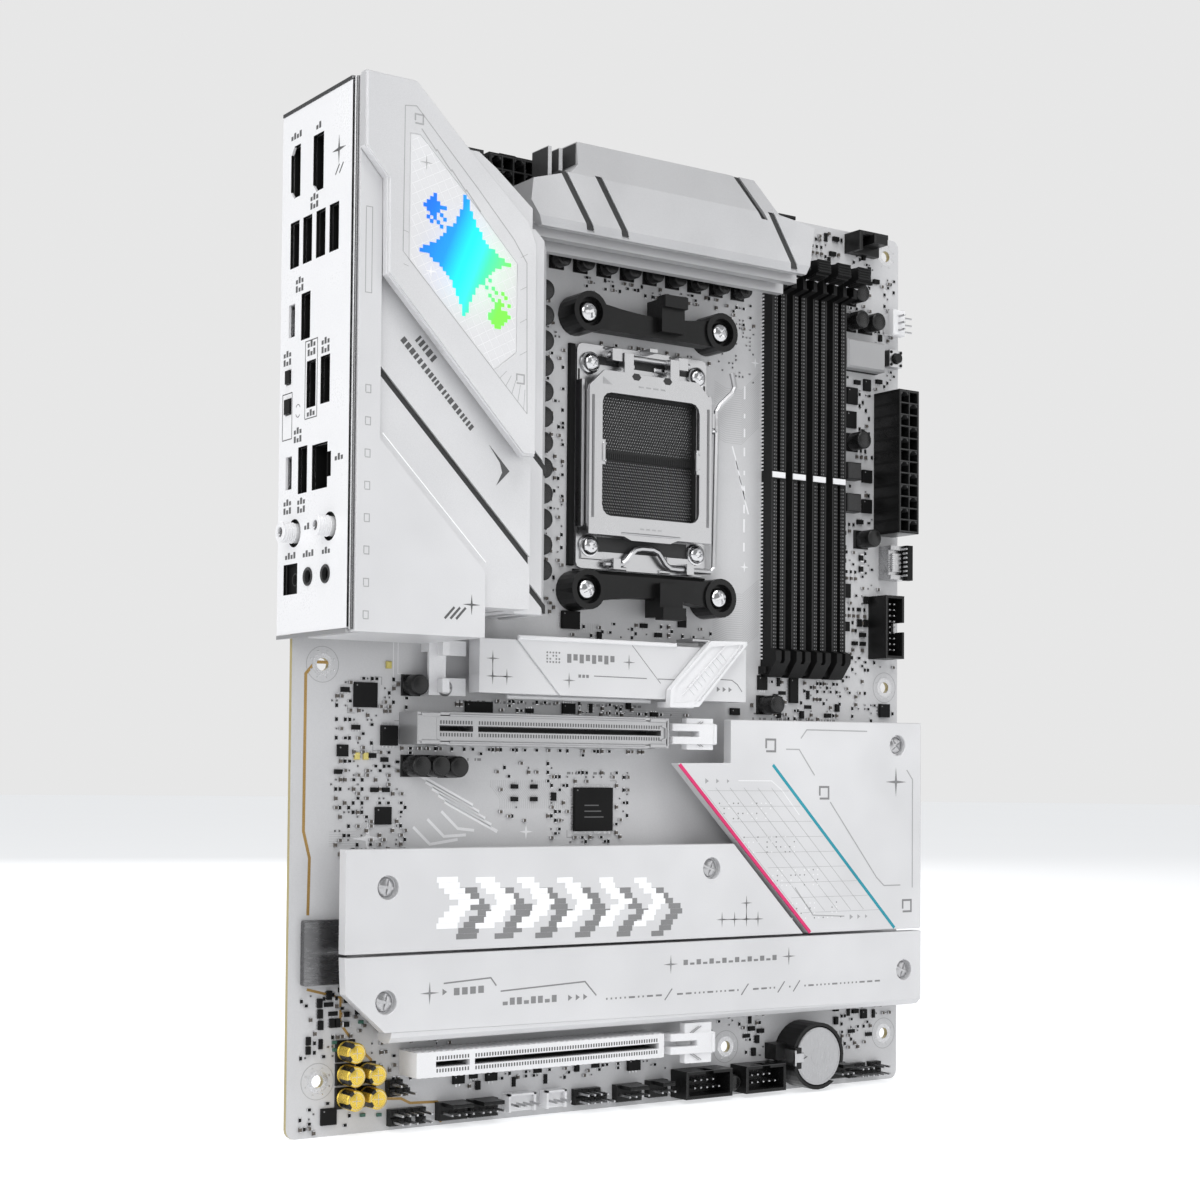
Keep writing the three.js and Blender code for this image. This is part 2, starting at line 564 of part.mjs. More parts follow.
function insetFrom(points, amount) {
  const total = points.reduce(([sx, sz], [x, z]) => [sx + x, sz + z], [0, 0]);
  const centre = total.map((sum) => sum / points.length);
  return points.map(([x, z]) => {
    const [dx, dz] = [x - centre[0], z - centre[1]];
    const reach = Math.hypot(dx, dz);
    return [centre[0] + dx * (1 - amount / reach), centre[1] + dz * (1 - amount / reach)];
  });
}

function ioCover() {
  const [low, high] = [COVER_H - COVER_SHEET, COVER_H];
  const lower = slab([[COVER_X, 148], [40, 148], [40, 167.4], [4.6, 202.8], [4.6, 276],
    [COVER_X, 284]], low, high);
  const upper = slab([[COVER_X, 305.2], [COVER_X, 283], [5.4, 275], [5.8, 251.6], [50.4, 206], [53.2, 206],
    [53.4, 263.6], [50.6, 270], [28.8, 289.4], [12.4, 305.2]], low, high - SEAT);
  const rearWall = block(COVER_X, COVER_X + 1.4, 41.3, high - 0.2, 148, 305.2);
  const footWall = block(COVER_X, 40, 8, high, 148, 149.6);
  const sideWall = block(38.4, 40, 8, high, 148, 167);
  const crown = block(0.2, 12.2, 6, high - 0.2, 303.4, 305.2);
  const shadowGap = block(COVER_X - 1, 1.2, 0, 41.2, 147, 306);
  return cut(join(lower, upper, footWall, sideWall, crown), shadowGap).add(solid(rearWall));
}
add('io_cover', ioCover(), WHITE_METAL);

function coverPanel() {
  const plate = slab(PANEL_OUTLINE, COVER_H + SEAT, PANEL_H - 0.8);
  const face = slab(insetFrom(PANEL_OUTLINE, 0.7), PANEL_H - 1, PANEL_H);
  const pocket = slab(insetFrom(LENS_OUTLINE, -0.3), PANEL_H - 1.9, PANEL_H + 1);
  return cut(join(plate, face), pocket);
}
add('io_cover_panel', coverPanel(), SILVER_METAL);
add('light_window', slab(LENS_OUTLINE, PANEL_H - 1.8, PANEL_H - 0.1), LENS);

// ---------------------------------------------------------------- voltage regulator heatsinks
function leftHeatsink() {
  const top = 41.5;
  const outline = [[5, 203.4], [40.4, 168], [40.4, 157.2], [56.9, 157.2], [56.9, 277.2], [44, 287.2],
    [38, 291], [22, 291], [22, 250], [5, 250]];
  const face = slab(outline, 38.6, top);
  const envelope = slab([[24, 186], [41.4, 168.6], [41.4, 157.2], [56.9, 157.2], [56.9, 277.2],
    [44, 287.2], [38, 291], [24, 291]], 3, top);
  const fins = [24, 30.2, 36.4, 42.6, 48.8, 54.2].map((x) => block(x, x + 2.7, 3, 34, 150, 300));
  const core = common(envelope, join(block(20, 60, 33, top, 150, 300), ...fins));
  const shoulder = [[56, 3], [72.4, 3], [72.8, 25], [70.4, 27.4], [60.5, 27.4], [56.9, 33], [56, 33]];
  const channels = [[59.6, 24], [66, 22]].map(([x, roof]) => block(x, x + 4, 0, roof, 150, 300));
  const step = common(column(shoulder, 157.2, 275.6),
    slab([[50, 157.2], [72.8, 157.2], [72.8, 270.4], [67, 275.6], [50, 275.6]], 0, 40));
  const groove = slab([[4, 223], [57.5, 169.5], [57.5, 172.3], [4, 225.8]], top - 2, top + 1);
  const notches = [159, 201.5].map((z) => slab(
    [[56.8, z + 14], [74, z - 3.2], [74, z - 0.4], [56.8, z + 16.8]], 25.6, 40));
  return cut(join(face, core, step), groove, ...channels, ...notches);
}
add('vrm_heatsink_left', leftHeatsink(), WHITE_METAL);

function topHeatsink() {
  const crestZ = 294;
  const section = [[12, 281], [12, 273.4], [15, 273.4], [15, 278.6], [18.4, 278.6], [18.4, 275.6],
    [22, 275.6], [22, 279], [24.6, 279], [24.6, 277.6], [27, 277.6], [29, 280], [31.5, crestZ], [30.6, 304.4],
    [12, 304.4], [12, 292]];
  const body = bar(section, 61, 177);
  const outline = [[64, 284], [69.6, 277.8], [69.6, 272], [176.4, 272], [176.4, 292.6], [160.8, 294.4],
    [150.6, 304.4], [80, 304.4], [80, 297], [77.6, 294.4], [64, 290.4]];
  const trimmed = common(body, slab(outline, 0, 40));
  const gaps = [90, 104, 118, 132].map((x) => block(x, x + 9, 10, 24, 280.5, 310));
  const legs = [66, 99.4, 113.4, 141.4].map((x) => block(x, x + 4, 3, 14, 283, 291));
  const slash = (x) => slab([[x - 14.6, 294.6], [x, 277], [x + 2.6, 277], [x - 12, 294.6]], 27.2, 40);
  const crestSlash = slab([[140.2, 306], [153.6, 292], [156.2, 292], [142.8, 306]], 29.4, 40);
  const sideFins = [71.8, 75.8].map((x) => block(x, x + 1.3, 18, 27, 288, 302.6));
  const connectorRoom = block(56, 77.5, 0, 15, 291.6, 306);
  const slashes = [87.4, 100.8, 170.4].map(slash);
  return cut(join(trimmed, ...legs, ...sideFins), ...gaps, ...slashes, crestSlash, connectorRoom);
}
add('vrm_heatsink_top', topHeatsink(), WHITE_METAL);

// ---------------------------------------------------------------- power connectors
function powerConnector(x0, z0, columns, rows, ridge) {
  const wall = (POWER_PITCH - POWER_CELL) / 2;
  const rim = 0.6;
  const x1 = x0 + columns * POWER_PITCH + 2 * rim;
  const z1 = z0 + rows * POWER_PITCH + 2 * rim;
  const cells = [];
  for (let i = 0; i < columns; i += 1) {
    for (let j = 0; j < rows; j += 1) {
      const x = x0 + rim + i * POWER_PITCH + wall;
      const z = z0 + rim + j * POWER_PITCH + wall;
      cells.push(block(x, x + POWER_CELL, 4, POWER_H + 1, z, z + POWER_CELL));
    }
  }
  return cut(join(block(x0, x1, SEAT, POWER_H, z0, z1), ridge), ...cells);
}
const epsZ = 292.2;
add('cpu_power_connector_1',
  powerConnector(38.8, epsZ, 4, 2, block(45, 51, SEAT, 9.5, 301, 303.4)), BLACK_PLASTIC);
add('cpu_power_connector_2',
  powerConnector(58.8, epsZ, 4, 2, block(65, 71, SEAT, 9.5, 301, 303.4)), BLACK_PLASTIC);
add('atx_power_connector',
  powerConnector(232, 195.8, 2, 12, block(241, 243.2, SEAT, 9.5, 216, 226)), BLACK_PLASTIC);

// ---------------------------------------------------------------- drive covers and chipset cover
function screwedPlate(outline, screws, extra = []) {
  const plate = join(slab(outline, ...PLATE_H), ...extra);
  return cut(plate, ...screws.map(([x, z]) => post(x, z, 3.6, PLATE_H[1] - 2.2, PLATE_H[1] + 1, 20)));
}

function middlePlate() {
  const outline = [[12, 54.9], [188.4, 54.9], [157.9, 85.9], [12, 85.9]];
  const pads = [block(62, 142, 5, PLATE_H[0] + 0.5, 60, 80)];
  return screwedPlate(outline, [[26.3, 74.4], [148.6, 77.9]], pads);
}

function lowerPlate() {
  const outline = [[12, 54], [12.5, 43], [25.8, 31.2], [243.4, 29.6], [243.4, 54]];
  const lip = bar([[4, 28.2], [8, 27.4], [11, 28], [12.6, 29.6], [13, 32.6], [PLATE_H[0], 34],
    [4, 30]], 28, 243.4);
  const pads = [block(62, 142, 5, PLATE_H[0] + 0.5, 34, 50)];
  return screwedPlate(outline, [[26, 40.3], [235.3, 40.4]], [lip, ...pads]);
}

function chipsetHeatsink() {
  const outline = [[134.1, 112.6], [191.3, 54.9], [243.4, 54.9], [243.4, 128], [156.4, 127.4],
    [156.4, 112.9]];
  const body = block(168, 226, 2.8, PLATE_H[0] + 0.5, 86, 124);
  return screwedPlate(outline, [[232.1, 119.9]], [body]);
}
add('m2_plate_middle', middlePlate(), WHITE_METAL);
add('m2_plate_lower', lowerPlate(), WHITE_METAL);
add('chipset_heatsink', chipsetHeatsink(), WHITE_METAL);
const chipSubstrate = block(186, 208, SEAT, 1.4, 94, 116);
const chipDie = block(190.5, 203.5, 1, 2.5, 98.5, 111.5);
add('chipset_chip', join(chipSubstrate, chipDie), CONTACT_GREY);

function upperDriveHeatsink() {
  const outline = [[58, 133.6], [163.6, 133.3], [163.6, 151.2], [58, 150.6]];
  const groove = slab([[69, 153], [88.2, 132.6], [88.9, 132.6], [69.7, 153]], 11.3, 13);
  return cut(slab(outline, 5.6, 12), groove);
}
add('m2_heatsink_upper', upperDriveHeatsink(), WHITE_METAL);

function driveLatch() {
  const outline = [[129.4, 130.8], [141.4, 131.2], [161.8, 152.6], [161.6, 153.6], [146.4, 153.2],
    [129.8, 136.6]];
  const inset = insetFrom(outline, 2);
  const plate = cut(slab(outline, 12.3, 14.8), slab(inset, 14.2, 16));
  const foot = block(130, 140.6, 7, 13, 130.8, 132.6);
  const catchLip = block(147, 160, 7, 13, 151.8, 153);
  return join(plate, foot, catchLip);
}
add('m2_latch', driveLatch(), WHITE_PLASTIC);

function driveBracket() {
  const sheet = cut(block(44, 57.2, 4.2, 5.2, 132.6, 149.6), block(50, 60, 3, 6, 138, 145));
  const legs = [block(44, 46, SEAT, 4.6, 132.6, 136), block(44, 46, SEAT, 4.6, 146, 149.6),
    block(47, 49.4, 4.8, 8.4, 133.4, 137.6), block(47, 49.4, 4.8, 8.4, 144.8, 149)];
  return join(sheet, ...legs);
}
add('m2_bracket', driveBracket(), WHITE_METAL);

// ---------------------------------------------------------------- board-edge headers and controls
// A shrouded pin header: an open box standing on the board, with a key slot in one long wall.
function boxHeader(x0, x1, z0, z1, height, wall, floor, keySide) {
  const shell = block(x0, x1, SEAT, height, z0, z1);
  const room = block(x0 + wall, x1 - wall, floor, height + 1, z0 + wall, z1 - wall);
  const middle = (keySide === 'x' ? z0 + z1 : x0 + x1) / 2;
  const key = keySide === 'x'
    ? block(x1 - wall - 0.5, x1 + 1, floor + 1.6, height + 1, middle - 1.7, middle + 1.7)
    : block(middle - 1.7, middle + 1.7, floor + 1.6, height + 1, z1 - wall - 0.5, z1 + 1);
  return cut(shell, room, key);
}
add('usb3_header', boxHeader(229.6, 238.4, 151, 173.6, 9.4, 1, 2.2, 'x'), BLACK_PLASTIC);
add('usb2_header_1', boxHeader(141.8, 161.2, 1.4, 10.6, 8.8, 1.1, 2, 'z'), BLACK_PLASTIC);
add('usb2_header_2', boxHeader(167.2, 184.6, 1.4, 10.6, 8.8, 1.1, 2, 'z'), BLACK_PLASTIC);

function frontUsbHeader() {
  const shell = block(234.6, 243.6, SEAT, 6.4, 179.8, 192);
  const mouth = block(234, 242, 5.2, 8, 181.4, 190.4);
  const tongue = block(236, 240, 4.8, 6, 182.6, 189.2);
  return join(cut(shell, mouth), tongue);
}
add('usb_c_header', frontUsbHeader(), STEEL);

const START = { x: 239.6, z: 260.6 };
add('start_button_base', cut(
  block(START.x - 3.1, START.x + 3.1, SEAT, 3.5, START.z - 3.1, START.z + 3.1),
  post(START.x, START.z, 2.1, 1.6, 5, 16)), STEEL);
add('start_button', post(START.x, START.z, 1.75, 2.2, 5, 16), BLACK_PLASTIC);

const CELL = { x: 197.9, z: 12.2, radius: 10, top: 10.4 };
function batteryHolder() {
  const cup = post(CELL.x, CELL.z, 11.5, SEAT, CELL.top - 0.2, 32);
  const room = post(CELL.x, CELL.z, CELL.radius + 0.3, CELL.top - 3.5, CELL.top + 2, 32);
  const leftLug = block(CELL.x - 15.6, CELL.x - 9, SEAT, 6, CELL.z - 0.8, CELL.z + 4.6);
  const rightLug = block(CELL.x + 9, CELL.x + 14.6, SEAT, 6, CELL.z - 1, CELL.z + 5);
  const liftSlot = block(CELL.x + 4, CELL.x + 13, CELL.top - 3.5, CELL.top + 2, CELL.z - 9, CELL.z - 3);
  const clips = [block(CELL.x - 11.4, CELL.x - 8.6, CELL.top + 0.1, CELL.top + 1, CELL.z - 3.6, CELL.z + 3.6),
    block(CELL.x - 11.4, CELL.x - 10.4, CELL.top - 2, CELL.top + 1, CELL.z - 3.6, CELL.z + 3.6)];
  return join(cut(join(cup, leftLug, rightLug), room, liftSlot), ...clips);
}
add('battery_holder', batteryHolder(), BLACK_PLASTIC);
add('coin_cell', join(
  post(CELL.x, CELL.z, CELL.radius - 0.6, CELL.top - 3.3, CELL.top - 2.4, 32),
  post(CELL.x, CELL.z, CELL.radius, CELL.top - 2.6, CELL.top - 0.1, 32)), STEEL);

function audioShield() {
  const outline = [[4, 45.2], [18.2, 45.2], [18.2, 64.6], [4, 64.6]];
  return slab(outline, SEAT, 2.6);
}
add('audio_shield', audioShield(), STEEL);

// ---------------------------------------------------------------- place the origin
board.position.set(-HOLE_COLUMNS[0], 0, -HOLE_ROWS[0]);
const motherboard = new THREE.Group();
motherboard.add(board);

export default motherboard;
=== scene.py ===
import json
import math
import random

import bmesh
import bpy
from mathutils import Matrix, Vector


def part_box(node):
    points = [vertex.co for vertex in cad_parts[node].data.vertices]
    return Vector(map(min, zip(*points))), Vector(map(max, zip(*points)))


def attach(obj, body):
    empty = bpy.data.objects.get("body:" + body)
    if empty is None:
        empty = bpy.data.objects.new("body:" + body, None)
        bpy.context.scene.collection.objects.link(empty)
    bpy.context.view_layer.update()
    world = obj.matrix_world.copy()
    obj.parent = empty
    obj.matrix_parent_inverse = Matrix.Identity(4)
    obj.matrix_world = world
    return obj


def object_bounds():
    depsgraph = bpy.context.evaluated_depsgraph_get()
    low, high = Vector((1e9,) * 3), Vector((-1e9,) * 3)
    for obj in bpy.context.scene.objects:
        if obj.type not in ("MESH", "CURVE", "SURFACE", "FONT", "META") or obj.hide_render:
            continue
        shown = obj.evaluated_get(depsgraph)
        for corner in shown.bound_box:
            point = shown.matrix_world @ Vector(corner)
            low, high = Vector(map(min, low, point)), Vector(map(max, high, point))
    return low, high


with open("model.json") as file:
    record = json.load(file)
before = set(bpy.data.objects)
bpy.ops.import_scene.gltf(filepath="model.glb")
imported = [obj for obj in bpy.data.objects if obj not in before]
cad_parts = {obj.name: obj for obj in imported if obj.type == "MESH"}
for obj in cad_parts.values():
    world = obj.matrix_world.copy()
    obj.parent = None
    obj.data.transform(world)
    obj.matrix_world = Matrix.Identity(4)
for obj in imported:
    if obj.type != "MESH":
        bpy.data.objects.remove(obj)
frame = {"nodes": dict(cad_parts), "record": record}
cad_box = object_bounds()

MM = 0.001
chance = random.Random(7)
board_low, board_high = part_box("pcb")
HOLE_X = (10.16, 165.1, 237.49)
HOLE_Z = (16.51, 140.97, 298.45)
UPPER_REAR_HOLE_X = 33.02
BACK = -1.5
SOCKET = (127.5, 213.2)
SOCKET_SCREWS = ((-21.9, 30.05), (21.9, 30.05), (-21.9, -30.05), (21.9, -30.05))
MEMORY_X = [182.8 + 9.25 * i for i in range(4)]
CARD_SLOT_Z = (122.3, 20.4)
PIN_PITCH = 2.54
POWER_PITCH = 4.2
EDGE_SOCKETS = ((38.8, 292.2, 4, 2), (58.8, 292.2, 4, 2), (232, 195.8, 2, 12))
USB_HEADERS = ((143.2, 160, 2.7, 9.4), (168.4, 183.4, 2.7, 9.4))
COIN_CELL = (197.9, 12.2)


def at(x, h, z):
    """A place in mm: x from the port edge, h above the component face, z from the bottom edge."""
    return Vector((board_low.x + x * MM, board_low.y - h * MM, board_low.z + z * MM))


# ---- finishes


def look(name, dark, light, roughness, metallic=0.0, grain=0.4, bump=0.01, spread=0.08,
         stretch=(1, 1, 1), wear=None, wear_share=0.25, coat=0.0, cloud=30.0, shine=0.5):
    """A finish: fine grain over broad clouding, worn patches, and roughness and relief to match."""
    material = bpy.data.materials.new(name)
    material.use_nodes = True
    tree = material.node_tree
    shader = tree.nodes["Principled BSDF"]
    shader.inputs["Metallic"].default_value = metallic
    shader.inputs["Coat Weight"].default_value = coat
    shader.inputs["Specular IOR Level"].default_value = shine
    place = tree.nodes.new("ShaderNodeTexCoord")
    mapping = tree.nodes.new("ShaderNodeMapping")
    mapping.inputs["Scale"].default_value = stretch
    tree.links.new(place.outputs["Object"], mapping.inputs["Vector"])

    def noise(size, detail):
        node = tree.nodes.new("ShaderNodeTexNoise")
        node.inputs["Scale"].default_value = 1000 / size
        node.inputs["Detail"].default_value = detail
        tree.links.new(mapping.outputs["Vector"], node.inputs["Vector"])
        return node.outputs["Fac"]

    def spread_out(source, low, high, to_low, to_high):
        node = tree.nodes.new("ShaderNodeMapRange")
        values = (low, high, to_low, to_high)
        for socket, value in zip(node.inputs[1:5], values):
            socket.default_value = value
        tree.links.new(source, node.inputs["Value"])
        return node.outputs["Result"]

    def mixed(factor, first, second):
        node = tree.nodes.new("ShaderNodeMix")
        node.data_type = "RGBA"
        tree.links.new(factor, node.inputs["Factor"])
        for socket, value in ((node.inputs[6], first), (node.inputs[7], second)):
            if isinstance(value, tuple):
                socket.default_value = (*value, 1)
            else:
                tree.links.new(value, socket)
        return node.outputs[2]

    fine = noise(grain, 3)
    broad = noise(cloud, 2)
    both = tree.nodes.new("ShaderNodeMath")
    tree.links.new(fine, both.inputs[0])
    tree.links.new(broad, both.inputs[1])
    tone = spread_out(both.outputs[0], 0.75, 1.25, 0, 1)
    colour = mixed(tone, dark, light)
    if wear:
        patches = spread_out(noise(5, 5), 0.58, 0.7, 0, wear_share)
        colour = mixed(patches, colour, wear)
    tree.links.new(colour, shader.inputs["Base Color"])
    gloss = spread_out(both.outputs[0], 0.75, 1.25, roughness + spread, roughness - spread)
    tree.links.new(gloss, shader.inputs["Roughness"])
    relief = tree.nodes.new("ShaderNodeBump")
    relief.inputs["Distance"].default_value = bump * MM
    tree.links.new(fine, relief.inputs["Height"])
    tree.links.new(relief.outputs["Normal"], shader.inputs["Normal"])
    return material


def grey(value):
    return (value, value, value * 1.015)


def pair(value, share=0.07):
    """A dark and a light grey either side of a value."""
    return grey(value * (1 - share)), grey(value * (1 + share))


WHITE_METAL = look("white_powder_coat", *pair(0.66, 0.05), 0.4, 0.3, grain=0.2, bump=0.03, wear=grey(0.66),
                   wear_share=0.12)
SILVER_METAL = look("satin_silver_white", *pair(0.66, 0.05), 0.36, 0.4, grain=0.2, bump=0.012)
# The top heatsink's white powder coat painted darker, as painted shade: its slopes and fins sit in shade.
FIN_METAL = look("white_coat_painted_darker", *pair(0.52, 0.06), 0.4, 0.45, grain=0.2, bump=0.035)
SHIELD_PAINT = look("shield_white_paint", *pair(0.8, 0.03), 0.34, 0.0, grain=0.5, bump=0.008, coat=0.2)
WHITE_PLASTIC = look("white_moulding", *pair(0.76, 0.04), 0.42, grain=0.3, bump=0.01)
BLACK_PLASTIC = look("black_moulding", *pair(0.006, 0.25), 0.34, grain=0.25, bump=0.006, wear=grey(0.014),
                     shine=0.26)
SLOT_BLACK = look("slot_black_moulding", *pair(0.006, 0.25), 0.5, grain=0.25, bump=0.01, shine=0.25)
# Deep black for real black parts, and also painted shade lining the insides of the ports.
DEEP_BLACK = look("deep_black_and_port_shade", *pair(0.004, 0.3), 0.6, grain=0.4, bump=0.01, shine=0.2)
# Near-black for real edges and trims, and also painted shade: dark strips in gaps and grooves where shade
# falls.
EDGE_AND_SHADE_GREY = look("black_edge_and_painted_shade", *pair(0.035, 0.2), 0.42, grain=0.3, bump=0.01, shine=0.3)
PAD_GREY = look("dim_contact_row", *pair(0.16, 0.2), 0.4, 0.6, grain=0.3, bump=0.005)
STEEL = look("nickel_plate", *pair(0.5, 0.025), 0.3, 1.0, grain=0.18, bump=0.0003, stretch=(1, 1, 0.3),
             spread=0.03)
PORT_STEEL = look("tinned_shell", *pair(0.42, 0.12), 0.32, 1.0, grain=0.6, bump=0.003, wear=grey(0.25))
CHROME = look("screw_chrome", *pair(0.68, 0.06), 0.15, 1.0, grain=0.6, bump=0.0015, wear=grey(0.45))
PALE_STEEL = look("armour_plate", *pair(0.42, 0.04), 0.32, 0.7, grain=0.3, bump=0.001, spread=0.04)
DARK_STEEL = look("dark_tinned_steel", *pair(0.2, 0.1), 0.25, 1.0, grain=0.5, bump=0.001, stretch=(0.2, 1, 1))
RESIN = look("socket_resin", *pair(0.02, 0.2), 0.5, grain=0.3, bump=0.01, shine=0.3)
CONTACT = look("contact_tips", *pair(0.5, 0.15), 0.34, 1.0, grain=0.4, bump=0.002)
GOLD = look("gold_plate", (0.55, 0.36, 0.11), (0.72, 0.5, 0.18), 0.28, 1.0, grain=0.4, bump=0.002)
GOLD_SLEEVE = look("gold_sleeve", (0.62, 0.42, 0.05), (0.8, 0.58, 0.1), 0.3, 0.7, grain=0.5, bump=0.004,
                   wear=(0.3, 0.18, 0.03))
COPPER_TRACE = look("bare_guard_trace", (0.3, 0.18, 0.05), (0.42, 0.27, 0.09), 0.42, 0.5, grain=0.4)
CELL_STEEL = look("cell_steel", *pair(0.42, 0.04), 0.3, 1.0, grain=0.3, bump=0.0006, stretch=(1, 1, 0.15),
                  spread=0.04)
CAN_GREY = look("aluminium_can", *pair(0.5, 0.08), 0.36, 0.9, grain=0.4, bump=0.004, stretch=(0.2, 1, 1))
CAN_TOP = look("black_can_top", *pair(0.03, 0.2), 0.42, grain=0.4, bump=0.008, shine=0.3)
CAN_SIDE = look("black_can_side", *pair(0.006, 0.2), 0.3, grain=0.4, bump=0.006, shine=0.4)
CHIP = look("moulded_chip", *pair(0.008, 0.2), 0.5, grain=0.2, bump=0.01, shine=0.12)
CERAMIC = look("ceramic_body", (0.06, 0.052, 0.045), (0.11, 0.095, 0.08), 0.5, grain=0.4)
SOLDER = look("solder", *pair(0.56, 0.1), 0.3, 1.0, grain=0.5, bump=0.02)
SILK_DARK = look("dark_print", *pair(0.09, 0.15), 0.5, grain=0.3)
SILK_GREY = look("grey_print", *pair(0.22, 0.1), 0.45, grain=0.3)
SILK_SOFT = look("soft_grey_print", *pair(0.36, 0.08), 0.5, grain=0.3)
SILK_PALE = look("pale_print", *pair(0.8, 0.04), 0.45, grain=0.3)
ROUTE = look("covered_trace", *pair(0.46, 0.05), 0.4, grain=0.3)
BRIGHT_WHITE = look("bright_white_print", *pair(0.93, 0.03), 0.4, grain=0.3)
MAGENTA = look("magenta_line", (0.62, 0.01, 0.12), (0.74, 0.02, 0.17), 0.4, grain=0.3)
TEAL = look("teal_line", (0.0, 0.24, 0.31), (0.01, 0.33, 0.41), 0.4, grain=0.3)
LENS_FILM = look("lens_film", *pair(0.66, 0.04), 0.3, grain=0.25, bump=0.008, coat=0.3)
JADE = look("green_part", (0.03, 0.09, 0.07), (0.05, 0.15, 0.11), 0.45, grain=0.3)
YELLOW = look("yellow_diode", (0.5, 0.42, 0.1), (0.7, 0.6, 0.2), 0.35, grain=0.3)
INDUCTOR = look("moulded_choke", *pair(0.34, 0.08), 0.55, grain=0.25, bump=0.02)


def laminate_look():
    """Pale grey solder mask on the faces and tan glass fibre on the cut edges, by a face's direction."""
    material = look("board_laminate", *pair(0.56, 0.035), 0.42, grain=0.35, bump=0.012, spread=0.06)
    tree = material.node_tree
    shader = tree.nodes["Principled BSDF"]
    mask = shader.inputs["Base Color"].links[0].from_socket
    geometry = tree.nodes.new("ShaderNodeNewGeometry")
    split = tree.nodes.new("ShaderNodeSeparateXYZ")
    size = tree.nodes.new("ShaderNodeMath")
    size.operation = "ABSOLUTE"
    edge = tree.nodes.new("ShaderNodeMath")
    edge.operation = "LESS_THAN"
    edge.inputs[1].default_value = 0.5
    blend = tree.nodes.new("ShaderNodeMix")
    blend.data_type = "RGBA"
    blend.inputs[7].default_value = (0.36, 0.3, 0.14, 1)
    tree.links.new(geometry.outputs["Normal"], split.inputs[0])
    tree.links.new(split.outputs["Y"], size.inputs[0])
    tree.links.new(size.outputs[0], edge.inputs[0])
    tree.links.new(edge.outputs[0], blend.inputs["Factor"])
    tree.links.new(mask, blend.inputs[6])
    tree.links.new(blend.outputs[2], shader.inputs["Base Color"])
    return material


def colour_run(tree, place, start, end, stops):
    """A colour that runs across the board from start to end through the stops."""
    along = tree.nodes.new("ShaderNodeVectorMath")
    along.operation = "DOT_PRODUCT"
    reach = at(end[0], 0, end[1]) - at(start[0], 0, start[1])
    along.inputs[1].default_value = reach / reach.length_squared
    offset = tree.nodes.new("ShaderNodeMath")
    offset.operation = "SUBTRACT"
    offset.inputs[1].default_value = at(start[0], 0, start[1]).dot(reach) / reach.length_squared
    ramp = tree.nodes.new("ShaderNodeValToRGB")
    points = ramp.color_ramp.elements
    while len(points) < len(stops):
        points.new(0.5)
    for point, (position, colour) in zip(points, stops):
        point.position = position
        point.color = (*colour, 1)
    tree.links.new(place.outputs["Object"], along.inputs[0])
    tree.links.new(along.outputs["Value"], offset.inputs[0])
    tree.links.new(offset.outputs[0], ramp.inputs["Fac"])
    return ramp.outputs["Color"]


def glow_look(name, run, strength):
    """A lit film whose colour is the run of colour."""
    material = look(name, grey(0.5), grey(0.6), 0.4, grain=0.3)
    tree = material.node_tree
    shader = tree.nodes["Principled BSDF"]
    colour = colour_run(tree, tree.nodes.new("ShaderNodeTexCoord"), *run)
    tree.links.new(colour, shader.inputs["Emission Color"])
    tree.links.new(colour, shader.inputs["Base Color"])
    shader.inputs["Emission Strength"].default_value = strength
    return material


def add_halo(material, run, centre, reach, strength):
    """Light from the glowing shape that soaks into the film round it."""
    tree = material.node_tree
    shader = tree.nodes["Principled BSDF"]
    place = tree.nodes.new("ShaderNodeTexCoord")
    gap = tree.nodes.new("ShaderNodeVectorMath")
    gap.operation = "DISTANCE"
    gap.inputs[1].default_value = at(*centre)
    fade = tree.nodes.new("ShaderNodeMapRange")
    fade.interpolation_type = "SMOOTHSTEP"
    for socket, value in zip(fade.inputs[1:5], (0, reach * MM, strength, 0)):
        socket.default_value = value
    tree.links.new(place.outputs["Object"], gap.inputs[0])
    tree.links.new(gap.outputs["Value"], fade.inputs["Value"])
    tree.links.new(colour_run(tree, place, *run), shader.inputs["Emission Color"])
    tree.links.new(fade.outputs["Result"], shader.inputs["Emission Strength"])


# ---- mesh building
SMOOTH_ANGLE = 38


